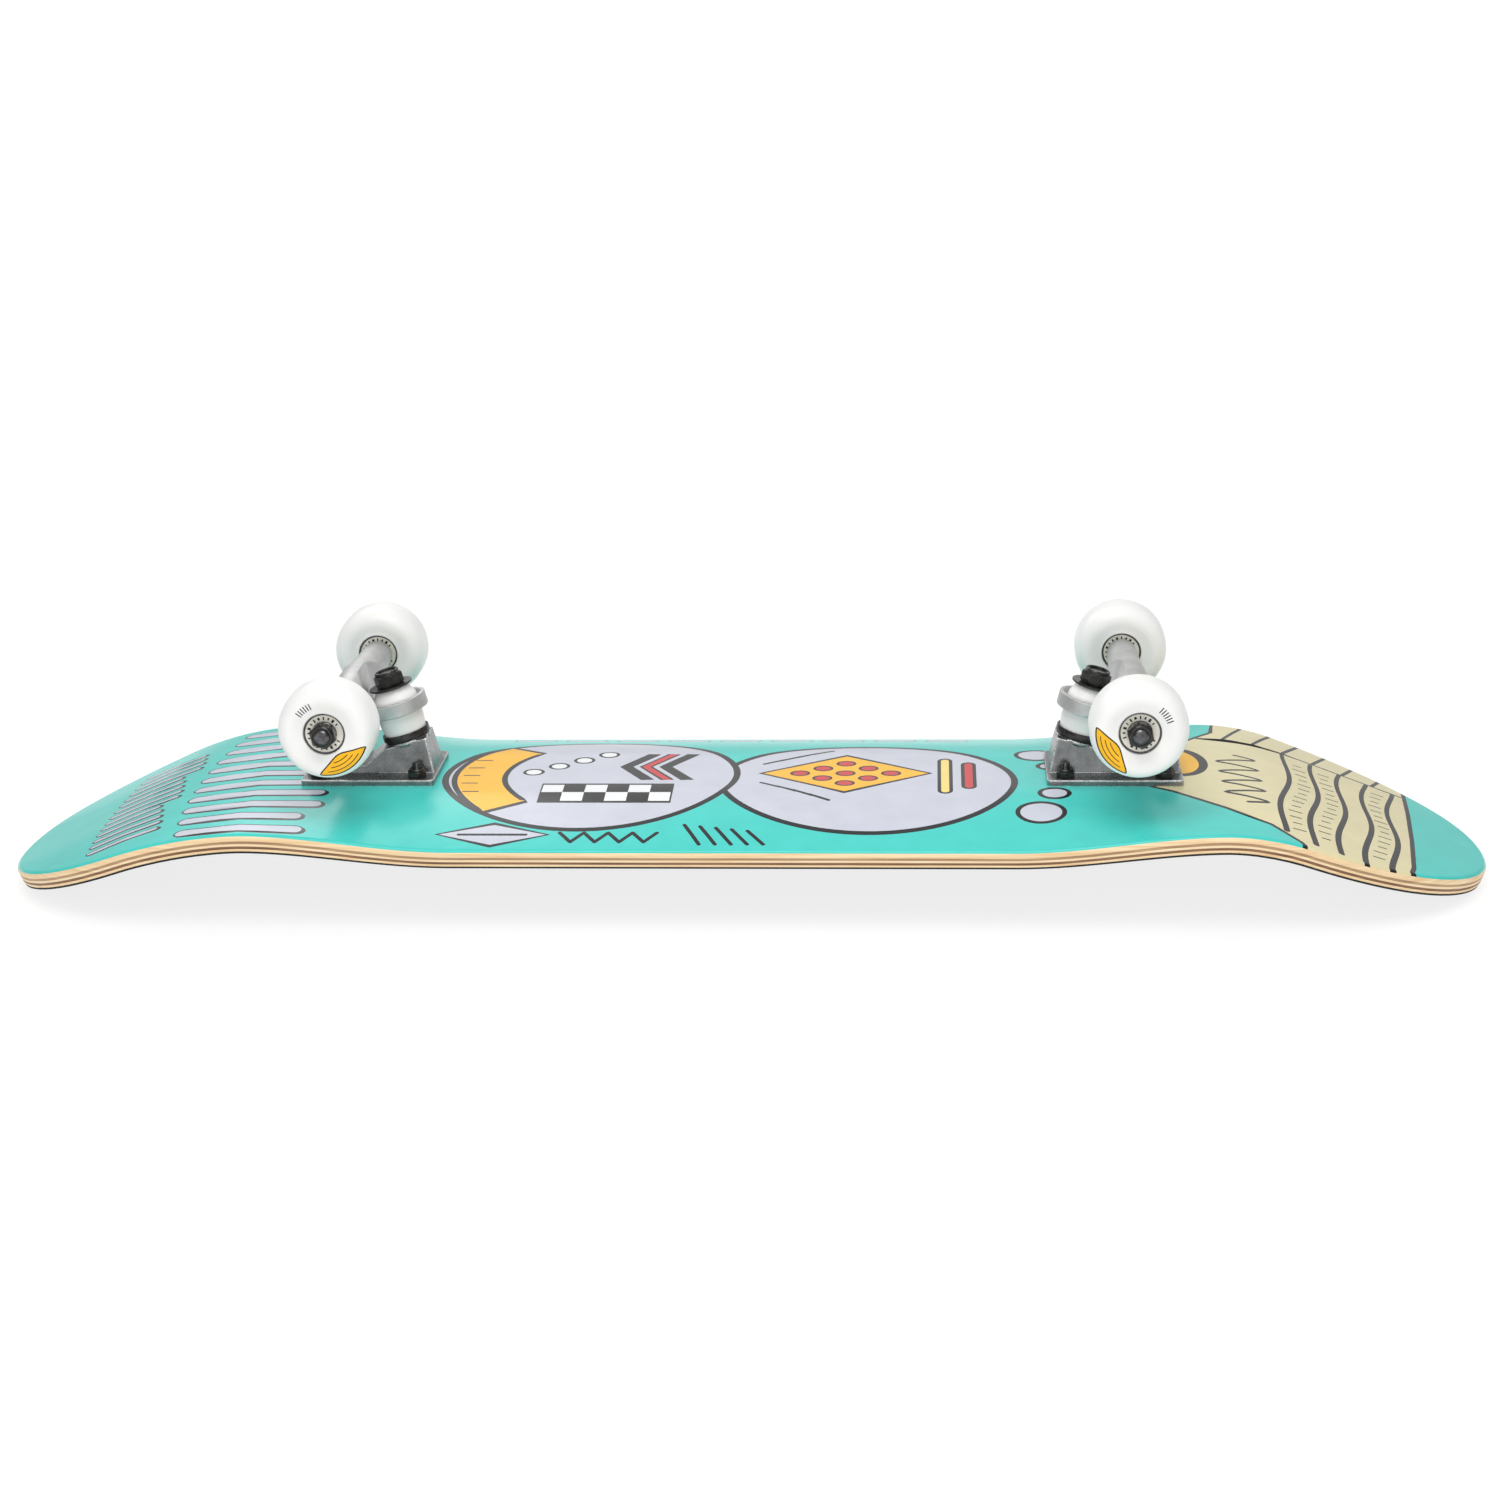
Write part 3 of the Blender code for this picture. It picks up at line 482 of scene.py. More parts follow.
def face_height(x, y):
    fall = kick(-x, NOSE_ANGLE, NOSE_RADIUS) if x < 0 else kick(x, TAIL_ANGLE, TAIL_RADIUS)
    fade = min(1.0, max(0.0, (abs(x) - CONCAVE_FULL) / (CONCAVE_FADED - CONCAVE_FULL)))
    fade = fade * fade * (3 - 2 * fade)
    depth = CONCAVE + (KICK_CONCAVE - CONCAVE) * fade
    reach = max(0.0, abs(y) - FLAT_HALF) / (WIDTH / 2 - FLAT_HALF)
    return FACE_Z - fall - depth * reach**CONCAVE_POWER


def face_normal(x, y):
    step = 2.0 * MM
    slope_x = (face_height(x + step, y) - face_height(x - step, y)) / (2 * step)
    slope_y = (face_height(x, y + step) - face_height(x, y - step)) / (2 * step)
    return Vector((-slope_x, -slope_y, 1)).normalized()


def layer_point(x, y, depth):
    """Point under the printed face at (x, y), a depth down the face's normal."""
    return Vector((x, y, face_height(x, y))) - face_normal(x, y) * depth


def outline(inset):
    """Points of the board's outline, moved in by a distance, and its outward directions."""
    tip_steps, rail_steps = 32, 110
    quarter = []
    for step in range(tip_steps + 1):
        turn = math.pi / 2 * step / tip_steps
        out = math.sin(turn) ** (2 / TIP_POWER)
        across = math.cos(turn) ** (2 / TIP_ROOT) if step < tip_steps else 0.0
        quarter.append((LENGTH / 2 + TIP_CUT - TIP_LENGTH * (1 - out), WIDTH / 2 * across))
    rail_end = quarter[0][0]
    rail = [(rail_end * (1 - 2 * step / rail_steps), WIDTH / 2) for step in range(1, rail_steps)]
    upper = quarter[::-1] + rail + [(-x, y) for x, y in quarter]
    lower = [(x, -y) for x, y in upper[-2:0:-1]]
    points = [Vector(p) for p in upper + lower]
    result = []
    for i, point in enumerate(points):
        ahead = points[(i + 1) % len(points)] - points[i - 1]
        outward = Vector((ahead.y, -ahead.x)).normalized()
        result.append((point - outward * inset, outward))
    return result


def at_angle(angle, radius=1.0, x=0.0, y=0.0):
    return Vector((x + radius * math.cos(angle), y + radius * math.sin(angle)))


def circle(x, y, radius, steps=24):
    return [at_angle(2 * math.pi * step / steps, radius, x, y) for step in range(steps)]


def winding(point, loop):
    """How many times a loop runs anticlockwise round a point."""
    turns = 0
    for start, end in zip(loop, loop[1:] + loop[:1]):
        side = (end - start).cross(point - start)
        if start.y <= point.y < end.y and side > 0:
            turns += 1
        elif end.y <= point.y < start.y and side < 0:
            turns -= 1
    return turns


def triangulate(border, holes, layers, fill):
    """Triangles inside the border and outside the holes, each with its topmost layer.

    It gives back the points, and the triangles with their layers, or -1 for bare ground.
    """
    points, faces, edges = [], [], []
    for loop in [border, *holes]:
        faces.append(list(range(len(points), len(points) + len(loop))))
        points += loop
    for loop in layers:
        first = len(points)
        edges += [(first + i, first + (i + 1) % len(loop)) for i in range(len(loop))]
        points += loop
    points, _, flat, _, _, parents = delaunay_2d_cdt(points + fill, edges, faces, 1, 1e-7)
    boxes = []
    for loop in layers:
        across, up = [point.x for point in loop], [point.y for point in loop]
        boxes.append((min(across), max(across), min(up), max(up)))
    triangles = []
    for corners, inside in zip(flat, parents):
        if 0 not in inside or any(parent > 0 for parent in inside):
            continue
        middle = (points[corners[0]] + points[corners[1]] + points[corners[2]]) / 3
        top = -1
        for index in range(len(layers) - 1, -1, -1):
            left, right, low, high = boxes[index]
            near = left < middle.x < right and low < middle.y < high
            if near and winding(middle, layers[index]):
                top = index
                break
        triangles.append((list(corners), top))
    return points, triangles


def border_loops(triangles):
    """The loops of directed edges that have a triangle on one side only."""
    edges = {}
    for corners, layer in triangles:
        for first, second in zip(corners, corners[1:] + corners[:1]):
            edges[(first, second)] = layer
    after = {edge[0]: (edge[1], layer) for edge, layer in edges.items() if edge[::-1] not in edges}
    loops = []
    while after:
        here = next(iter(after))
        loop = []
        while here in after:
            following, layer = after.pop(here)
            loop.append((here, layer))
            here = following
        loops.append(loop)
    return loops


def outward_at(point, ring):
    """Outward direction of the outline at a point, blended from its two nearest stations."""
    near = sorted(ring, key=lambda item: (item[0] - point).length_squared)[:2]
    total = Vector((0, 0))
    for place, outward in near:
        total += outward / max(1e-7, (place - point).length)
    return total.normalized()


def ground_points(inset, step_x, step_y):
    """Staggered points over the board, inside the outline."""
    result = []
    rows = int(WIDTH / step_y / 2) + 1
    columns = int(LENGTH / step_x / 2) + 1
    for row in range(-rows, rows + 1):
        for column in range(-columns, columns + 1):
            x = (column + 0.5 * (row % 2)) * step_x
            y = row * step_y
            from_tip = LENGTH / 2 + TIP_CUT - inset - abs(x)
            if from_tip <= 0:
                continue
            end = max(0.0, 1 - from_tip / TIP_LENGTH)
            if abs(y) < (WIDTH / 2 - inset) * (1 - end**TIP_POWER) ** (1 / TIP_ROOT):
                result.append(Vector((x, y)))
    return result


# ---- the printed pattern, in mm


def spline(points, steps):
    """A smooth open curve through the points."""
    result = []
    count = len(points)
    for i in range(count - 1):
        four = [Vector(points[min(count - 1, max(0, i + k))]) for k in (-1, 0, 1, 2)]
        for step in range(steps):
            t = step / steps
            a = four[1] * 2
            b = (four[2] - four[0]) * t
            c = (four[0] * 2 - four[1] * 5 + four[2] * 4 - four[3]) * t * t
            d = (four[1] * 3 - four[0] - four[2] * 3 + four[3]) * t * t * t
            result.append((a + b + c + d) / 2)
    result.append(Vector(points[-1]))
    return result


def ellipse(x, y, across, up, turn=0.0, steps=56):
    lean = Matrix.Rotation(math.radians(turn), 2)
    result = []
    for step in range(steps):
        angle = 2 * math.pi * step / steps
        spoke = Vector((across * math.cos(angle), up * math.sin(angle)))
        result.append(Vector((x, y)) + lean @ spoke)
    return result


def grown(loop, distance):
    """A closed loop moved out by a distance."""
    if sum(a.cross(b) for a, b in zip(loop, loop[1:] + loop[:1])) < 0:
        loop = loop[::-1]
    result = []
    for i, point in enumerate(loop):
        ahead = loop[(i + 1) % len(loop)] - loop[i - 1]
        result.append(point + Vector((ahead.y, -ahead.x)).normalized() * distance)
    return result


def stroke(points, width, taper=1.0):
    """A brush line with round ends, as one closed loop."""
    half = width / 2
    left, right = [], []
    count = len(points)
    for i, point in enumerate(points):
        ahead = (points[min(count - 1, i + 1)] - points[max(0, i - 1)]).normalized()
        side = Vector((-ahead.y, ahead.x)) * half * (1 + (taper - 1) * i / (count - 1))
        left.append(point + side)
        right.append(point - side)
    cap_end = cap(points[-1], points[-1] - points[-2], half * taper)
    cap_start = cap(points[0], points[0] - points[1], half)
    return right + cap_end + left[::-1] + cap_start


def cap(centre, direction, radius):
    """The round end of a brush line, without its two corners."""
    start = math.atan2(direction.y, direction.x) - math.pi / 2
    return [centre + at_angle(start + math.pi * step / 6) * radius for step in range(1, 6)]


def line(first, second, width):
    middle = (Vector(first) + Vector(second)) / 2
    return stroke([Vector(first), middle, Vector(second)], width)


def inked(first, second, width):
    return [(line(first, second, width), INK)]


def outlined(loop, material, width):
    return [(grown(loop, width / 2), INK), (grown(loop, -width / 2), material)]


def shape_of(*corners):
    return [Vector(corner) for corner in corners]


def rhombus(x, y, across, up):
    return shape_of((x - across, y), (x, y - up), (x + across, y), (x, y + up))


def rectangle(left, right, low, high):
    return shape_of((left, low), (right, low), (right, high), (left, high))


def chevron(x, y, reach, rise, width):
    """A band in the shape of an arrowhead that points along X."""
    edge = ((x, y - rise), (x + reach, y), (x, y + rise))
    return shape_of(edge[0], *((across + width, up) for across, up in edge), *edge[:0:-1])


def arc(radius, start, end, steps, x=0, y=0):
    turns = (math.radians(start + (end - start) * step / steps) for step in range(steps + 1))
    return [at_angle(turn, radius, x, y) for turn in turns]


def nose_bars():
    """Two rows of rounded bars, each over its own shadow."""
    pieces = []
    rows = ((-354.0, -315.0, -74.0, 62.0, 14, 5.2), (-300.0, -230.0, -92.0, 86.0, 11, 9.4))
    trims = (0.0, 5.0, 1.0, 8.0, 3.0)
    for row, (left, right, low, high, count, thick) in enumerate(rows):
        for number in range(count):
            y = low + (high - low) * number / (count - 1)
            bow = 6.0 * (y / 90.0) ** 2
            start, end = left + bow, right + bow * 0.3 - trims[(number * 2 + row) % 5]
            pieces += inked((start + 1.2, y - 1.3), (end + 1.4, y - 0.7), thick + 0.6)
            pieces += inked((start, y), (end, y + 0.6), thick + 0.4)
            pieces.append((line((start, y), (end, y + 0.6), thick - 1.5), LAVENDER))
    return pieces


def lattice_disc():
    """A big disc with a dotted rhombus on it, and small discs beyond its end."""
    pieces = []
    for x, y, radius in ((164, -62, 12.5), (172, -38, 8.0), (164, 30, 11.0), (171, 9, 6.5)):
        pieces += outlined(ellipse(x, y, radius, radius * 0.92, 0, 36), LAVENDER, 2.6)
    pieces += outlined(ellipse(70, -17, 81, 67, -4, 96), LAVENDER, 3.8)
    for shift in (-1, 1):
        for number in range(4):
            x = 12 + number * 9.0
            start, end = (-4 + shift * (rise + number * 6.2) for rise in (17, 25))
            pieces += inked((x, start), (x + 11, end), 2.2)
    pieces += outlined(rhombus(58, -4, 47, 33), YELLOW, 3.0)
    for x, reach, material in ((113, 27, PALE_YELLOW), (126, 20, RED)):
        pieces += outlined(line((x, -8 - reach), (x, -8 + reach), 6.4), material, 2.0)
    for row in range(-1, 2):
        for column in range(-1, 2):
            x, y = 58 + (row + column) * 12.6, -4 + (row - column) * 8.9
            pieces += outlined(ellipse(x, y, 4.9, 4.4, 0, 28), RED, 1.5)
    return pieces


def banded_disc():
    """A big disc with a sun-coloured crescent, a chequered strip and arrowheads."""
    pieces = outlined(ellipse(-83, -8, 81, 73, 3, 96), LAVENDER, 3.8)
    crescent = arc(76, 132, 226, 24, -83, -8) + arc(60, 224, 136, 24, -71, -8)
    pieces += outlined(crescent, YELLOW, 3.2)
    for number in range(5):
        y = -36 + number * 14.0
        x = -150 + 0.0042 * (y + 8) ** 2
        pieces += inked((x - 4, y), (x + 4, y), 1.4)
    pieces += outlined(rectangle(-108, -36, -50, -24), PAPER, 2.6)
    for column in range(6):
        for row in range(2):
            if (column + row) % 2 == 0:
                x, y = -108 + column * 12.0, -50 + row * 13.0
                pieces.append((rectangle(x, x + 12, y, y + 13), INK))
    for x, material in ((-54, INK), (-43, RED), (-32, INK)):
        pieces += outlined(chevron(x, 8, -14, 24, 6.0), material, 1.6)
    for number in range(4):
        x, y = -116 + number * 13.0, -2 + number * 11.0
        pieces += outlined(ellipse(x, y, 5.2, 5.2, 0, 24), PAPER, 1.8)
    return pieces


def rail_pieces():
    """Small plain shapes along both rails."""
    pieces = outlined(rhombus(-128, -86, 30, 11), LAVENDER, 2.6)
    pieces += inked((-146, -86), (-110, -86), 2.0)
    saw = [(-92 + 6.5 * step, -84 - 9.0 * (step % 2)) for step in range(9)]
    for first, second in zip(saw, saw[1:]):
        pieces += inked(first, second, 2.3)
    for number in range(5):
        x = -26 + number * 8.5
        pieces += inked((x, -76 - number * 1.5), (x + 9, -95), 2.2)
    for number in range(9):
        x = -134 + number * 30.0
        pieces += outlined(line((x, 82), (x + 17, 82), 7.0), LAVENDER, 1.8)
    return pieces


def wave_x(start, y):
    part = (y + 92) / 184.0
    return start + 22.0 * part + 2.3 * math.sin(part * 10.8 + start * 0.05)


def tail_panel():
    """A cream panel crossed by wavy stripes, with rows of small ticks between them."""
    panel = (
        (214, -20), (236, -36), (262, -62), (284, -80), (298, -96), (306, -112), (332, -112),
        (352, -104), (360, -74), (366, -28), (372, 26), (376, 70), (376, 112), (270, 112),
        (266, 80), (250, 60), (228, 26),
    )
    pieces = outlined(shape_of(*panel), CREAM, 2.6)
    pieces += outlined(ellipse(241, 18, 15, 25, 8), YELLOW, 5.0)
    for start in (289.0, 305.0, 320.0, 334.0, 348.0):
        wave = [(wave_x(start, y), y) for y in range(-84 if start < 300 else -92, 61, 8)]
        pieces.append((stroke(spline(wave, 3), 3.4, 0.75), INK))
    for column, start in enumerate((297.2, 312.8, 341.2)):
        for number in range(14):
            y = -78 + number * 9.4
            half = (3.2, 2.0, 2.8)[(number + column) % 3]
            x = wave_x(start, y)
            pieces += inked((x - half, y), (x + half, y + 0.8), 1.3)
    pieces += inked((256, 66), (373, 60), 2.2)
    for number in range(6):
        x = 272 + number * 17.0
        pieces += inked((x, 67 - number * 0.9), (x + 13, 99), 2.2)
    sweep = [(275 + 11.0 * math.sin(step * math.pi / 2), -50 + step * 4.6) for step in range(19)]
    pieces.append((stroke(spline(sweep, 4), 2.8, 0.8), INK))
    return pieces


# ---- the board


def make_deck():
    """The deck: a printed face, a rounded edge that shows its plies, and an underside."""
    pattern = nose_bars() + rail_pieces() + lattice_disc() + banded_disc() + tail_panel()
    materials = [TEAL, PLY_LIGHT, PLY_PALE, PLY_BROWN, PLY_TAN]
    for _, material in pattern:
        if material not in materials:
            materials.append(material)
    inks = [materials.index(material) for _, material in pattern]
    loops = [[point * MM for point in loop] for loop, _ in pattern]
    ring = outline(EDGE_ROUND)
    border = [point for point, _ in ring]
    holes = [circle(x, y, BOLT_RADIUS) for x, y in BOLT_CENTRES]
    fill = ground_points(EDGE_ROUND + 2 * MM, 7 * MM, 6 * MM)
    points, triangles = triangulate(border, holes, loops, fill)

    bm = bmesh.new()
    top = sheet(bm, points, triangles, lambda x, y: layer_point(x, y, 0.0), inks)
    printed = len(bm.faces)
    rim = max(border_loops(triangles), key=len)
    stations = [(points[corner], outward_at(points[corner], ring)) for corner, _ in rim]
    rim_inks = [inks[layer] if layer >= 0 else 0 for _, layer in rim]

    def ring_at(degrees, drop, pull):
        turn = math.radians(degrees)
        made = []
        for place, outward in stations:
            normal = face_normal(place.x, place.y)
            flat = Vector((outward.x, outward.y, 0))
            tangent = (flat - normal * flat.dot(normal)).normalized()
            centre = layer_point(place.x, place.y, EDGE_ROUND)
            point = centre + (tangent * math.sin(turn) + normal * math.cos(turn)) * EDGE_ROUND
            made.append(bm.verts.new(point - normal * drop - tangent * pull))
        return made

    edge = [(degrees, 0.0, 0.0, rim_inks) for degrees in (12, 25, 38, FILM_WRAP)]
    edge += [(degrees, 0.0, 0.0, 1) for degrees in (63, 76, 90)]
    edge += [(90, depth * MM - EDGE_ROUND, 0.0, ply) for depth, ply in PLY_BANDS]
    edge.append((90, UNDER_EDGE - EDGE_ROUND, UNDER_CHAMFER, 1))
    last = [top[corner] for corner, _ in rim]
    for degrees, drop, pull, material in edge:
        lower = ring_at(degrees, drop, pull)
        band(bm, last, lower, material)
        last = lower

    under_border = [place + outward * (EDGE_ROUND - UNDER_INSET) for place, outward in stations]
    sinks = [circle(x, y, SINK_RADIUS) for x, y in BOLT_CENTRES]
    fill = ground_points(8 * MM, 14 * MM, 12 * MM)
    points, triangles = triangulate(under_border, sinks, [], fill)
    bottom = sheet(
        bm, points, triangles, lambda x, y: layer_point(x, y, DECK_THICKNESS), ground=1, flip=True
    )
    low_ring = [bottom[corner] for corner, _ in max(border_loops(triangles), key=len)]
    shift = min(range(len(low_ring)), key=lambda i: (low_ring[i].co - last[0].co).length)
    band(bm, last, low_ring[shift:] + low_ring[:shift], 1)

    for x, y in BOLT_CENTRES:
        bore = [Vector((p.x, p.y, face_height(p.x, p.y))) for p in circle(x, y, BOLT_RADIUS)]
        middle = [p - Vector((0, 0, SINK_DEPTH)) for p in bore]
        low = [layer_point(p.x, p.y, DECK_THICKNESS) for p in circle(x, y, SINK_RADIUS)]
        rings = [[bm.verts.new(p) for p in ring] for ring in (bore, middle, low)]
        band(bm, rings[0], rings[1], 1)
        band(bm, rings[1], rings[2], 1)
    return add_printed("deck_board", bm, printed, materials, 28.0, face_normal)


def make_tape():
    """The grip tape: a gritty sheet trimmed just inside the deck's edge, with holes for bolts."""
    border = [point for point, _ in outline(TAPE_INSET)]
    holes = [circle(x, y, TAPE_HOLE) for x, y in BOLT_CENTRES]
    fill = ground_points(6 * MM, 10 * MM, 9 * MM)
    points, triangles = triangulate(border, holes, [], fill)
    bm = bmesh.new()
    sides = []
    for depth, flip in ((DECK_THICKNESS + TAPE_GAP, False), (STACK, True)):
        sides.append(
            sheet(bm, points, triangles, lambda x, y: layer_point(x, y, depth), flip=flip)
        )
    for loop in border_loops(triangles):
        upper, lower = ([side[corner] for corner, _ in loop] for side in sides)
        band(bm, upper, lower)
    return add_object("grip_sheet", bm, [GRIT], 40.0)


# ---- castings


def slab_object(name, corners, low, high):
    bm = bmesh.new()
    slab(bm, corners, low, high)
    return add_object(name, bm, [CAST])


def prism(name, corners, half_width):
    """A solid over an outline in x and z, whose half-width in y may depend on them, in mm."""
    bm = bmesh.new()
    sides = []
    for side in (-1, 1):
        places = [(x * MM, side * half_width(x, z) * MM, z * MM) for x, z in corners]
        sides.append([bm.verts.new(place) for place in places])
    bm.faces.new(sides[0])
    bm.faces.new(sides[1][::-1])
    band(bm, *sides)
    return add_object(name, bm, [CAST])


def drill(radius, top, bottom, matrix, steps=32):
    """A cylinder that cuts a bore."""
    profile = [(0, top), (radius, top), (radius, bottom), (0, bottom)]
    return turned("drill", profile, steps=steps, matrix=matrix)


def cast(name, parts, voxel):
    """Melts overlapping solids into one, with the small fillets of a sand casting."""
    bm = bmesh.new()
    for part in parts:
        bm.from_mesh(part.data)
        bpy.data.objects.remove(part, do_unlink=True)
    mesh = bpy.data.meshes.new(name)
    bm.to_mesh(mesh)
    bm.free()
    obj = linked(name, mesh)
    remesh = obj.modifiers.new("skin", "REMESH")
    remesh.mode = "VOXEL"
    remesh.voxel_size = voxel
    relax = obj.modifiers.new("relax", "SMOOTH")
    relax.factor = 0.5
    relax.iterations = 5
    thin = obj.modifiers.new("thin", "DECIMATE")
    thin.ratio = 0.30
    return baked(obj)


def machined(obj, cutters, material):
    """Cuts holes and flats, which keep their sharp edges."""
    for cutter in cutters:
        cut = obj.modifiers.new("cut", "BOOLEAN")
        cut.operation = "DIFFERENCE"
        cut.object = cutter
        cut.solver = "EXACT"
        baked(obj)
        bpy.data.objects.remove(cutter, do_unlink=True)
    mesh = obj.data
    mesh.materials.clear()
    mesh.materials.append(material)
    mesh.polygons.foreach_set("material_index", [0] * len(mesh.polygons))
    shade(mesh, 38.0)
    return obj


def make_baseplate():
    corners = filleted([(-45, -28), (29, -28), (29, 28), (-45, 28)], 2.4, 5)
    plate = slab_object("plate", corners, -0.6, PLATE_TOP)
    flanks = [
        (-44.2, 1.0), (28.2, 1.0), on_pivot(-9.5, 9.5), on_pivot(2.5, 9.5),
        on_pivot(2.5, -9.0), (-5.0, 8.0), on_kingpin(12.4, -0.7), on_kingpin(-12.4, -0.7),
    ]
    pedestal = prism("pedestal", flanks, lambda x, z: 11.7 + (22.9 - z) * 0.17)
    seat = [(0, 0.0), (13.0, 0.0), (13.1, -1.4), (11.0, -6.0), (0, -6.0)]
    boss = turned("seat_boss", seat, matrix=KINGPIN_PLACE)
    housing = [(0, 2.2), (9.6, 2.2), (9.9, -9.0), (0, -9.0)]
    pivot_boss = turned("pivot_boss", housing, matrix=PIVOT_PLACE)
    rough = cast("baseplate", [plate, pedestal, boss, pivot_boss], 0.42 * MM)
    cutters = [
        prism("under", [(-60, -5), (-60, 0.04), (60, 0.04), (60, -5)], lambda x, z: 40.0),
        drill(5.1, 6, -30, KINGPIN_PLACE),
        drill(7.8, 12, -7.7, PIVOT_PLACE),
    ]
    cutters += [drill(BOLT_RADIUS / MM, 8, -2, spot, 24) for spot in BOLT_SPOTS]
    return machined(rough, cutters, PLATE)


def make_hanger():
    end = 65.3
    side = [(8.3, end), (8.7, 57.3), (9.1, 40.0), (9.8, 24.0), (11.0, 10.0), (11.2, 0.0)]
    housing = [(0, end)] + side + [(r, -h) for r, h in side[-2::-1]] + [(0, -end)]
    beam = turned("beam", housing, steps=64, matrix=AXLE_PLACE)
    web_side = [
        on_kingpin(14.5, 16.2), on_pivot(16.0, -1.0), on_pivot(9.0, 1.6), on_pivot(9.5, 9.0),
        (13.5, 38.0), (10.3, 49.5), (5.5, 55.5), (-3.5, 56.5), (-7.0, 50.0),
        on_kingpin(14.5, 22.9),
    ]
    web = prism("web", web_side, lambda x, z: 12.0 + max(0.0, z - 34.0) * 0.55)
    low, high = RING_MIDDLE - 4, RING_MIDDLE + 4
    rim = [
        (17.0, high), (17.0, low), (12.8, low), (12.6, RING_MIDDLE - 2), (7.0, RING_MIDDLE - 2),
        (7.0, RING_MIDDLE + 2), (12.8, RING_MIDDLE + 2), (13.2, high - 1.4), (14.9, high),
    ]
    ring = turned("ring", rim, steps=64, matrix=KINGPIN_PLACE)
    stem_side = [(0, 17), (8.4, 17), (5.8, 3.5), (5.6, 0), (4.3, -3.6), (0, -5.6)]
    stem = turned("stem", stem_side, matrix=PIVOT_PLACE)
    rough = cast("hanger", [beam, web, ring, stem], 0.45 * MM)
    mouth = [(-20, -31), (7.8, -30), (12.9, -11), (12.9, 11), (7.8, 30), (-20, 31)]
    scoop = slab_object("nut_scoop", mouth, 24.6, 60)
    scoop.data.transform(KINGPIN_PLACE)
    return machined(rough, [scoop, drill(4.1, 80, -80, AXLE_PLACE)], CAST)


# ---- fasteners and bushings


def hexagon(face, top):
    """Radius of a nut's chamfered hexagon, whose flats are face mm out from its axis."""
    chamfer, end_radius, slope = 0.9, face * 0.985, 1.9

    def shape(radius, height, angle):
        if radius < face - 0.01:
            return radius
        across = face / math.cos(angle % (math.pi / 3) - math.pi / 6)
        to_end = min(top - height, height)
        return min(across, end_radius + to_end * slope) if to_end < chamfer else across

    return shape


def make_nut(name, flats, hex_top, top, collar, bore):
    """A lock nut: chamfered hexagon with a round collar that holds a nylon ring."""
    face = flats / 2
    heights = (0.0, 0.35, 0.8, hex_top - 0.9, hex_top - 0.4, hex_top)
    profile = [(bore, 0.0)] + [(face, height) for height in heights]
    profile += [
        (face - 0.3, hex_top), (collar, hex_top + 0.15), (collar, top - 0.5),
        (collar - 0.45, top), (collar - 1.1, top), (collar - 1.25, top - 0.5),
        (bore + 0.05, top - 0.55),
    ]
    return turned(name, profile, BLACK, 72, sharp=24.0, shape=hexagon(face, hex_top))


def threaded(top, bottom, radius, pitch, depth):
    """Profile points of a screw thread's crests and roots, from the top down."""
    points = []
    height = top
    while height - pitch > bottom:
        points += [(radius, height), (radius - depth, height - pitch / 2)]
        height -= pitch
    points.append((radius, bottom))
    return points


def cross_recess(radius, height, angle):
    """Draws the middle of a bolt's head in to a four-armed star."""
    if height > 0.5 or radius > 2.21 or radius < 0.01:
        return radius
    return radius * (0.52 + 0.48 * abs(math.cos(2 * angle)) ** 3)


def make_bolt():
    """A countersunk bolt with a cross recess in its head, which faces down."""
    profile = [(0, 22.2), (1.9, 22.2)] + threaded(21.7, 12.0, 2.42, 0.8, 0.34)
    profile += [(2.42, 2.6), (4.6, 0.12), (4.5, 0.0), (2.2, 0.0), (1.9, 0.02), (0.0, 0.9)]
    return turned("bolt", profile, BLACK, shape=cross_recess)


def make_axle():
    end = 101.8
    tip = [(0, end), (3.1, end), (3.5, end - 0.4)]
    upper = tip + threaded(end - 0.8, 91.5, 3.97, 1.06, 0.42)
    profile = upper + [(r, -h) for r, h in reversed(upper)]
    return turned("axle", profile, DARK_STEEL, matrix=AXLE_PLACE, sharp=40.0)


def kingpin_pieces():
    """Name, profile, fillet, material and slot of the pieces turned about the kingpin."""
    bore = 5.06
    shaft = [(0, 38.6), (3.9, 38.6, 0)] + threaded(38.2, 30.0, 4.76, 1.06, 0.42)
    shaft += [(4.76, -3.0), (0, -3.0)]
    lower_cup = [
        (13.3, 4.5), (13.4, 1.2), (12.4, 0.05), (bore, 0.05), (bore, 1.7), (12.0, 1.8),
        (12.35, 4.5),
    ]
    lower_rubber = [
        (12.3, 17.45), (12.5, 13.4), (12.55, 9.5), (11.9, 4.5), (11.7, 1.8), (bore, 1.8),
        (bore, 17.45),
    ]
    upper_rubber = [
        (9.3, 29.45), (10.2, 27.6), (12.1, 24.0), (12.4, 21.55), (bore, 21.55), (bore, 29.45),
    ]
    upper_cup = [(12.3, 31.5), (12.3, 30.5), (9.8, 29.5), (bore, 29.5), (bore, 31.2), (9.2, 31.2)]
    return (
        ("kingpin", shaft, 0.0, DARK_STEEL, "zinc_steel"),
        ("bottom_washer", lower_cup, 0.45, BLACK, "black_steel"),
        ("bottom_bushing", lower_rubber, 0.8, BUSHING, "bushing_urethane"),
        ("top_bushing", upper_rubber, 0.6, BUSHING, "bushing_urethane"),
        ("top_washer", upper_cup, 0.35, BLACK, "black_steel"),
    )


# ---- wheels


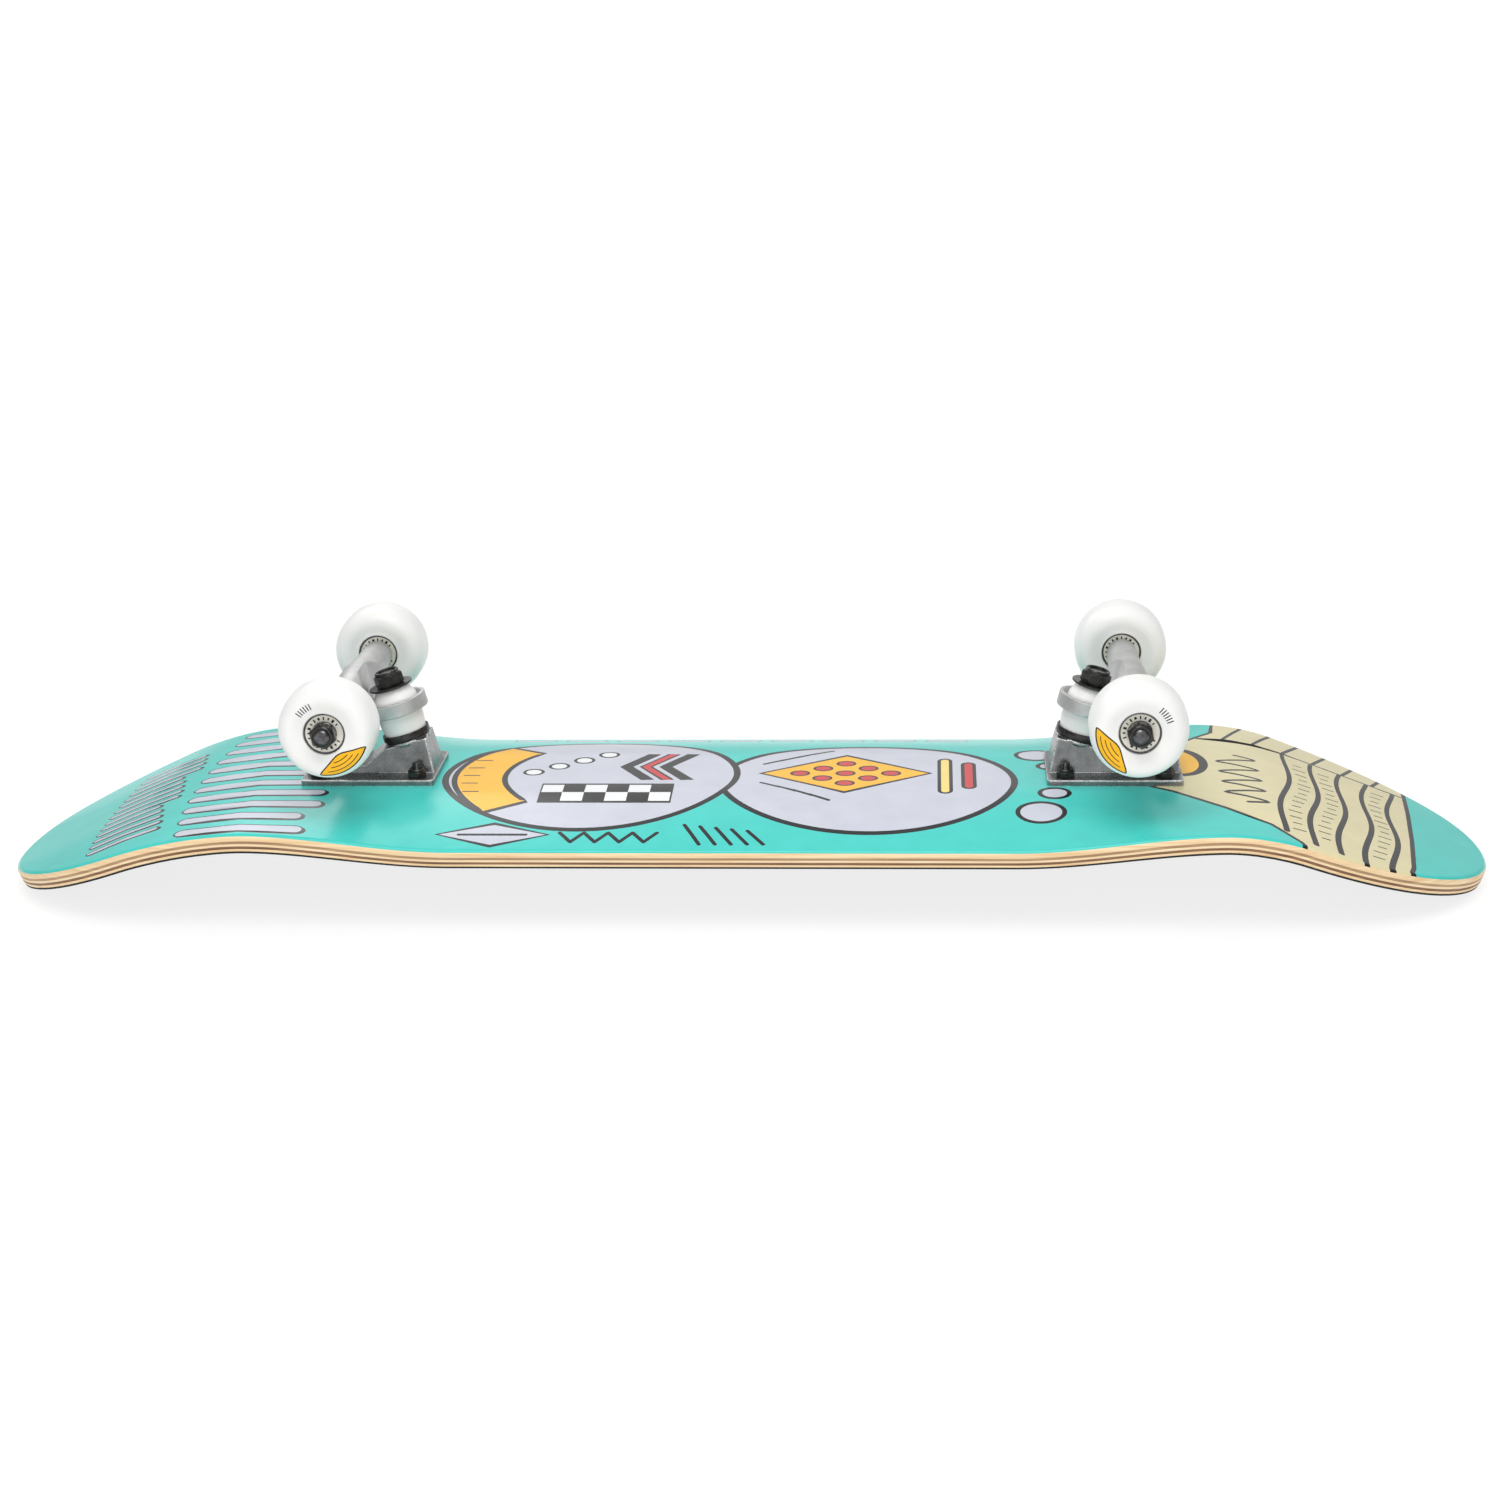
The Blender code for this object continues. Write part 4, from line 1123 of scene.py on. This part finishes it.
def wheel_face(radius):
    """Height of a wheel's outer face over its middle plane, in mm."""
    if radius <= CORE_RADIUS:
        return CORE_HALF
    if radius <= ROUND_START:
        part = (radius - CORE_RADIUS) / (ROUND_START - CORE_RADIUS)
        return CORE_HALF + part * part * (3 - 2 * part)
    part = min(1.0, (radius - ROUND_START) / (WHEEL_RADIUS - ROUND_START))
    return ROUND_HEIGHT + ROUND_RISE * math.sqrt(max(0.0, 1 - part**ROUND_POWER))


def wheel_normal(x, y):
    radius = math.hypot(x, y) / MM
    slope = (wheel_face(radius + 0.2) - wheel_face(radius - 0.2)) / 0.4
    return Vector((-slope * x / radius / MM, -slope * y / radius / MM, 1)).normalized()


def wheel_pattern(turn):
    """A flash on a wheel's face: a sun-coloured leaf with ink lines, and a row of dashes."""
    outer, inner = [], []
    for step in range(31):
        spot = at_angle(math.radians(turn + 80 * step / 30))
        outer.append(spot * 22.8)
        inner.append(spot * (22.3 - 9.2 * math.sin(math.pi * step / 30) ** 0.7))
    pieces = outlined(outer + inner[::-1], YELLOW, 0.7)
    for middle, reach in ((16.2, 15.0), (18.4, 22.0), (20.6, 28.0)):
        stripe = arc(middle, turn + 40 - reach, turn + 40 + reach, 14)
        pieces.append((stroke(stripe, 0.45), INK))
    for number in range(6):
        spot = at_angle(math.radians(turn + 211 + 5.4 * number))
        pieces += inked(spot * 15.0, spot * 18.2, 0.6)
    return pieces


def make_wheel(name, turn):
    """A wheel with its printed outer face up, in mm about its own middle."""
    steps, edge = 96, 24.6
    materials = [URETHANE, INK, YELLOW]
    pattern = wheel_pattern(turn)
    inks = [materials.index(material) for _, material in pattern]
    fill = []
    for number in range(12):
        fill += circle(0, 0, 12.5 + number * 1.0, 72 + 2 * number)
    outer, inner = circle(0, 0, edge, steps), circle(0, 0, CORE_RADIUS, steps)
    points, triangles = triangulate(outer, [inner], [loop for loop, _ in pattern], fill)

    def on_face(x, y):
        return x * MM, y * MM, wheel_face(math.hypot(x, y)) * MM

    bm = bmesh.new()
    sheet(bm, points, triangles, on_face, inks)
    printed = len(bm.faces)
    shoulder = []
    for degrees in (0, 12, 24, 36):
        reach = math.cos(math.radians(degrees)) ** (2 / ROUND_POWER)
        height = ROUND_HEIGHT + ROUND_RISE * math.sin(math.radians(degrees))
        if height < wheel_face(edge):
            shoulder.append((ROUND_START + (WHEEL_RADIUS - ROUND_START) * reach, height))
    far_radii = (
        edge, 24.0, 23.2, 22.2, 21.0, 19.6, 18.0, 17.0, 16.0, 15.0, 14.0, 13.3, 12.3, CORE_RADIUS,
    )
    bore = [(11.15, 14.1), (11.15, 6.2), (9.2, 6.2)]
    profile = [(edge, wheel_face(edge))] + shoulder[::-1]
    profile += [(WHEEL_RADIUS, height) for height in (2.5, 0.0, -2.5)]
    profile += [(r, -h) for r, h in shoulder] + [(r, -wheel_face(r)) for r in far_radii]
    profile += [(r, -h) for r, h in bore] + bore[::-1] + [(CORE_RADIUS, CORE_HALF)]
    lathe(bm, profile, steps, closed=False)
    return add_printed(name, bm, printed, materials, 32.0, wheel_normal)


def make_bearing():
    """A ball bearing's outer race and shields, with plain marks on the enamel, facing +Z."""
    bm = bmesh.new()
    race = filleted([(11.0, 3.5), (11.0, -3.5), (10.15, -3.5), (10.15, 3.5)], 0.25)
    lathe(bm, race, 72, material=1)
    plate = [(10.1, 3.30), (9.7, 3.12), (7.0, 3.12), (6.6, 2.95), (6.6, 2.6), (10.1, 2.6)]
    for side in (1, -1):
        lathe(bm, [(r, h * side) for r, h in plate][::side], 72)
    marks = [18 * k for k in range(2, 12)] + [18 * k + 6 for k in range(13, 19)]
    for number, degrees in enumerate(marks):
        spot = at_angle(math.radians(degrees))
        side = Vector((-spot.y, spot.x)) * (0.34, 0.62, 0.42)[number % 3]
        low, high = (spot * 7.4, spot * 9.2) if number % 2 else (spot * 7.6, spot * 9.0)
        slab(bm, [low - side, high - side, high + side, low + side], 3.1, 3.17, 2)
    return add_object("bearing", bm, [SHIELD, DARK_STEEL, INK], 35.0)


def make_race_stack():
    """Two inner races, the spacer between them and a speed ring at each end."""
    upper = [(5.3, 14.35), (5.3, 13.45), (6.0, 13.4), (6.2, 13.1), (6.2, 6.5), (5.3, 6.4)]
    profile = upper + [(r, -h) for r, h in reversed(upper)] + [(4.2, -14.35), (4.2, 14.35)]
    return turned("race_stack", filleted(profile, 0.12), STEEL, 56, sharp=35.0)


# ---- assembly


def put(prefix, pattern, piece, node, matrix, body, slot):
    """A copy of a pattern, in its place, that stands for one CAD node."""
    copy = linked(f"{prefix}_{piece}", pattern.data.copy())
    copy.data.transform(matrix)
    finish_piece(copy, body, f"{prefix}_{node}")


def lifted(matrix, height, turn=0.0):
    return matrix @ Matrix.Translation((0, 0, height)) @ Matrix.Rotation(turn, 4, "Z")


def place_truck(name, matrix, patterns):
    """Every piece of a truck but its wheels."""
    board, hanger = "board", f"{name}_hanger_body"
    upright = matrix @ KINGPIN_PLACE
    castings = (
        ("baseplate", "truck_base", board, "cast_aluminium"),
        ("hanger", "truck_hanger", hanger, "cast_aluminium"),
        ("axle", "truck_axle", hanger, "zinc_steel"),
    )
    for node, piece, body, slot in castings:
        put(name, patterns[node], piece, node, matrix, body, slot)
    for piece, profile, fillet, material, slot in kingpin_pieces():
        rounded = filleted(profile, fillet)
        obj = turned(f"{name}_{piece}_turned", rounded, material, 80, sharp=35.0)
        obj.data.transform(upright)
        low, high = (
            upright @ Vector((0, 0, end(point[1] for point in profile) * MM)) for end in (min, max)
        )
        if piece == "bottom_bushing":
            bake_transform(obj)
        elif piece == "top_bushing":
            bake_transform(obj)
        else:
            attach(obj, board)
        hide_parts(f"{name}_{piece}")
    nut, seat = patterns["kingpin_nut"], lifted(upright, KINGPIN_NUT_SEAT)
    put(name, nut, "kingpin_lock_nut", "kingpin_nut", seat, board, "black_steel")
    bolt, nut = patterns["bolt"], patterns["bolt_nut"]
    for number, spot in enumerate(BOLT_SPOTS, 1):
        head = lifted(matrix @ spot, -STACK)
        seat = lifted(matrix @ spot, (PLATE_TOP + NUT_GAP) * MM, 0.4 * number)
        put(name, bolt, f"truck_bolt_{number}", f"bolt_{number}", head, board, "black_steel")
        put(name, nut, f"truck_nut_{number}", f"bolt_nut_{number}", seat, board, "black_steel")


def place_wheels(name, matrix, patterns):
    for side_name, side in (("right", -1), ("left", 1)):
        centre = Vector((matrix.translation.x, side * WHEEL_Y, FACE_Z + AXLE_Z))
        spin = Matrix.Translation(centre) @ Matrix.Rotation(-side * math.pi / 2, 4, "X")
        prefix = f"{name}_{side_name}"
        body, hanger = f"{prefix}_wheel_body", f"{name}_hanger_body"
        out = lifted(spin, BEARING_MIDDLE)
        back = lifted(spin, -BEARING_MIDDLE) @ Matrix.Rotation(math.pi, 4, "X")
        seat = lifted(spin, CORE_HALF * MM, 0.3 * side)
        pieces = (
            (f"{name}_wheel", "urethane", "wheel", spin, body, "white_urethane"),
            ("bearing", "bearing_outer", "outer_bearing", out, body, "bearing_shield"),
            ("bearing", "bearing_inner", "inner_bearing", back, body, "bearing_shield"),
            ("race_stack", "races", "race_stack", spin, hanger, "zinc_steel"),
            ("axle_nut", "axle_lock_nut", "axle_nut", seat, hanger, "black_steel"),
        )
        for pattern, *rest in pieces:
            put(prefix, patterns[pattern], *rest)


def make_patterns():
    return {
        "baseplate": make_baseplate(),
        "hanger": make_hanger(),
        "axle": make_axle(),
        "bolt": make_bolt(),
        "bolt_nut": make_nut("bolt_nut", 9.53, 3.4, 4.8, 4.1, 2.5),
        "kingpin_nut": make_nut("kingpin_nut", 14.29, 6.4, 8.3, 6.9, 4.85),
        "axle_nut": make_nut("axle_nut", 12.7, 4.6, 6.3, 5.9, 4.05),
        "front_wheel": make_wheel("front_wheel", 262.0),
        "rear_wheel": make_wheel("rear_wheel", 172.0),
        "bearing": make_bearing(),
        "race_stack": make_race_stack(),
    }


def dress_cad_nodes():
    """The CAD pieces that stay in view get their own materials."""
    for name in TRUCKS:
        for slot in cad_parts[f"{name}_pivot_cup"].material_slots:
            slot.material = NYLON


# ---- stage


def make_backdrop():
    """A wide pale floor, and a wall round it that only shows itself."""
    paper = surface(
        "floor_paper", (0.22, 0.22, 0.22), (0.24, 0.24, 0.24), 3.0, (0.85, 0.95), (0.02, 0.0002),
        fine=400.0, Emission_Color=(1.0, 1.0, 1.0, 1.0), Emission_Strength=0.81,
    )
    bm = bmesh.new()
    bmesh.ops.create_grid(bm, x_segments=4, y_segments=4, size=18.0)
    add_object("studio_floor", bm, [paper])
    bm = bmesh.new()
    lathe(bm, [(17.6 / MM, -0.2 / MM), (17.6 / MM, 16.0 / MM)], 48, closed=False)
    backdrop = add_object("studio_backdrop", bm, [paper])
    for kind in ("diffuse", "glossy", "transmission", "volume_scatter", "shadow"):
        setattr(backdrop, "visible_" + kind, False)


def make_light():
    """Broad soft light, with a duller horizon that keeps the gloss of the print in check."""
    world = bpy.data.worlds.new("studio")
    bpy.context.scene.world = world
    world.use_nodes = True
    tree = world.node_tree
    place = tree.nodes.new("ShaderNodeTexCoord")
    parts = tree.nodes.new("ShaderNodeSeparateXYZ")
    tree.links.new(place.outputs["Generated"], parts.inputs["Vector"])
    square = product(tree, parts.outputs["X"], parts.outputs["X"])
    sides = ramp(tree, square, (0.0, (0.90, 0.90, 0.90)), (0.8, (0.36, 0.36, 0.37)))
    height = ramp(tree, parts.outputs["Z"], (0.0, (0.42, 0.42, 0.42)), (0.30, (1.0, 1.0, 1.0)))
    both = colour_mix(tree, "MULTIPLY")
    both.inputs["Factor"].default_value = 1.0
    tree.links.new(sides, both.inputs["A"])
    tree.links.new(height, both.inputs["B"])
    tree.links.new(both.outputs["Result"], tree.nodes["Background"].inputs["Color"])
    lights = (
        ("key", (0.0, -0.45, 1.05), 0.7, 4.6),
        ("rim", (-0.5, 0.9, 0.8), 0.6, 1.6),
        ("fill", (0.1, -1.9, 0.55), 1.4, 3.0),
    )
    aim = Vector((0, 0, 0.06))
    for name, place, size, power in lights:
        light = bpy.data.lights.new(name, "AREA")
        light.shape = "DISK"
        light.size = size
        light.energy = power
        lamp = linked(name, light)
        lamp.location = place
        lamp.visible_camera = False
        lamp.rotation_euler = (Vector(place) - aim).to_track_quat("Z", "Y").to_euler()


def make_camera():
    """Low three-quarter view from the rider's right."""
    pitch, heading, roll = (math.radians(turn) for turn in (17.0204, -3.6783, -1.1056))
    level = Vector((math.cos(heading), -math.sin(heading), 0))
    ahead = math.cos(pitch)
    sight = (math.sin(heading) * ahead, math.cos(heading) * ahead, -math.sin(pitch))
    forward = Vector(sight)
    over = level.cross(forward)
    right = level * math.cos(roll) + over * math.sin(roll)
    up = over * math.cos(roll) - level * math.sin(roll)
    data = bpy.data.cameras.new("view")
    data.sensor_width = 36.0
    data.lens = 71.05
    camera = linked("view", data)
    place = Vector((105.78 * MM, -1568.69 * MM, 493.475 * MM + FACE_Z))
    turn = Matrix((right, up, -forward)).transposed()
    camera.matrix_world = Matrix.Translation(place) @ turn.to_4x4()
    bpy.context.scene.camera = camera


def main():
    make_camera()
    make_backdrop()
    make_light()
    finish_piece(make_deck(), "board", "deck")
    finish_piece(make_tape(), "board", "grip_tape")
    patterns = make_patterns()
    for name, matrix in TRUCKS.items():
        place_truck(name, matrix, patterns)
        place_wheels(name, matrix, patterns)
    for pattern in patterns.values():
        bpy.data.objects.remove(pattern, do_unlink=True)
    dress_cad_nodes()
    view = bpy.context.scene.view_settings
    view.view_transform = "Standard"
    view.look = "None"


main()
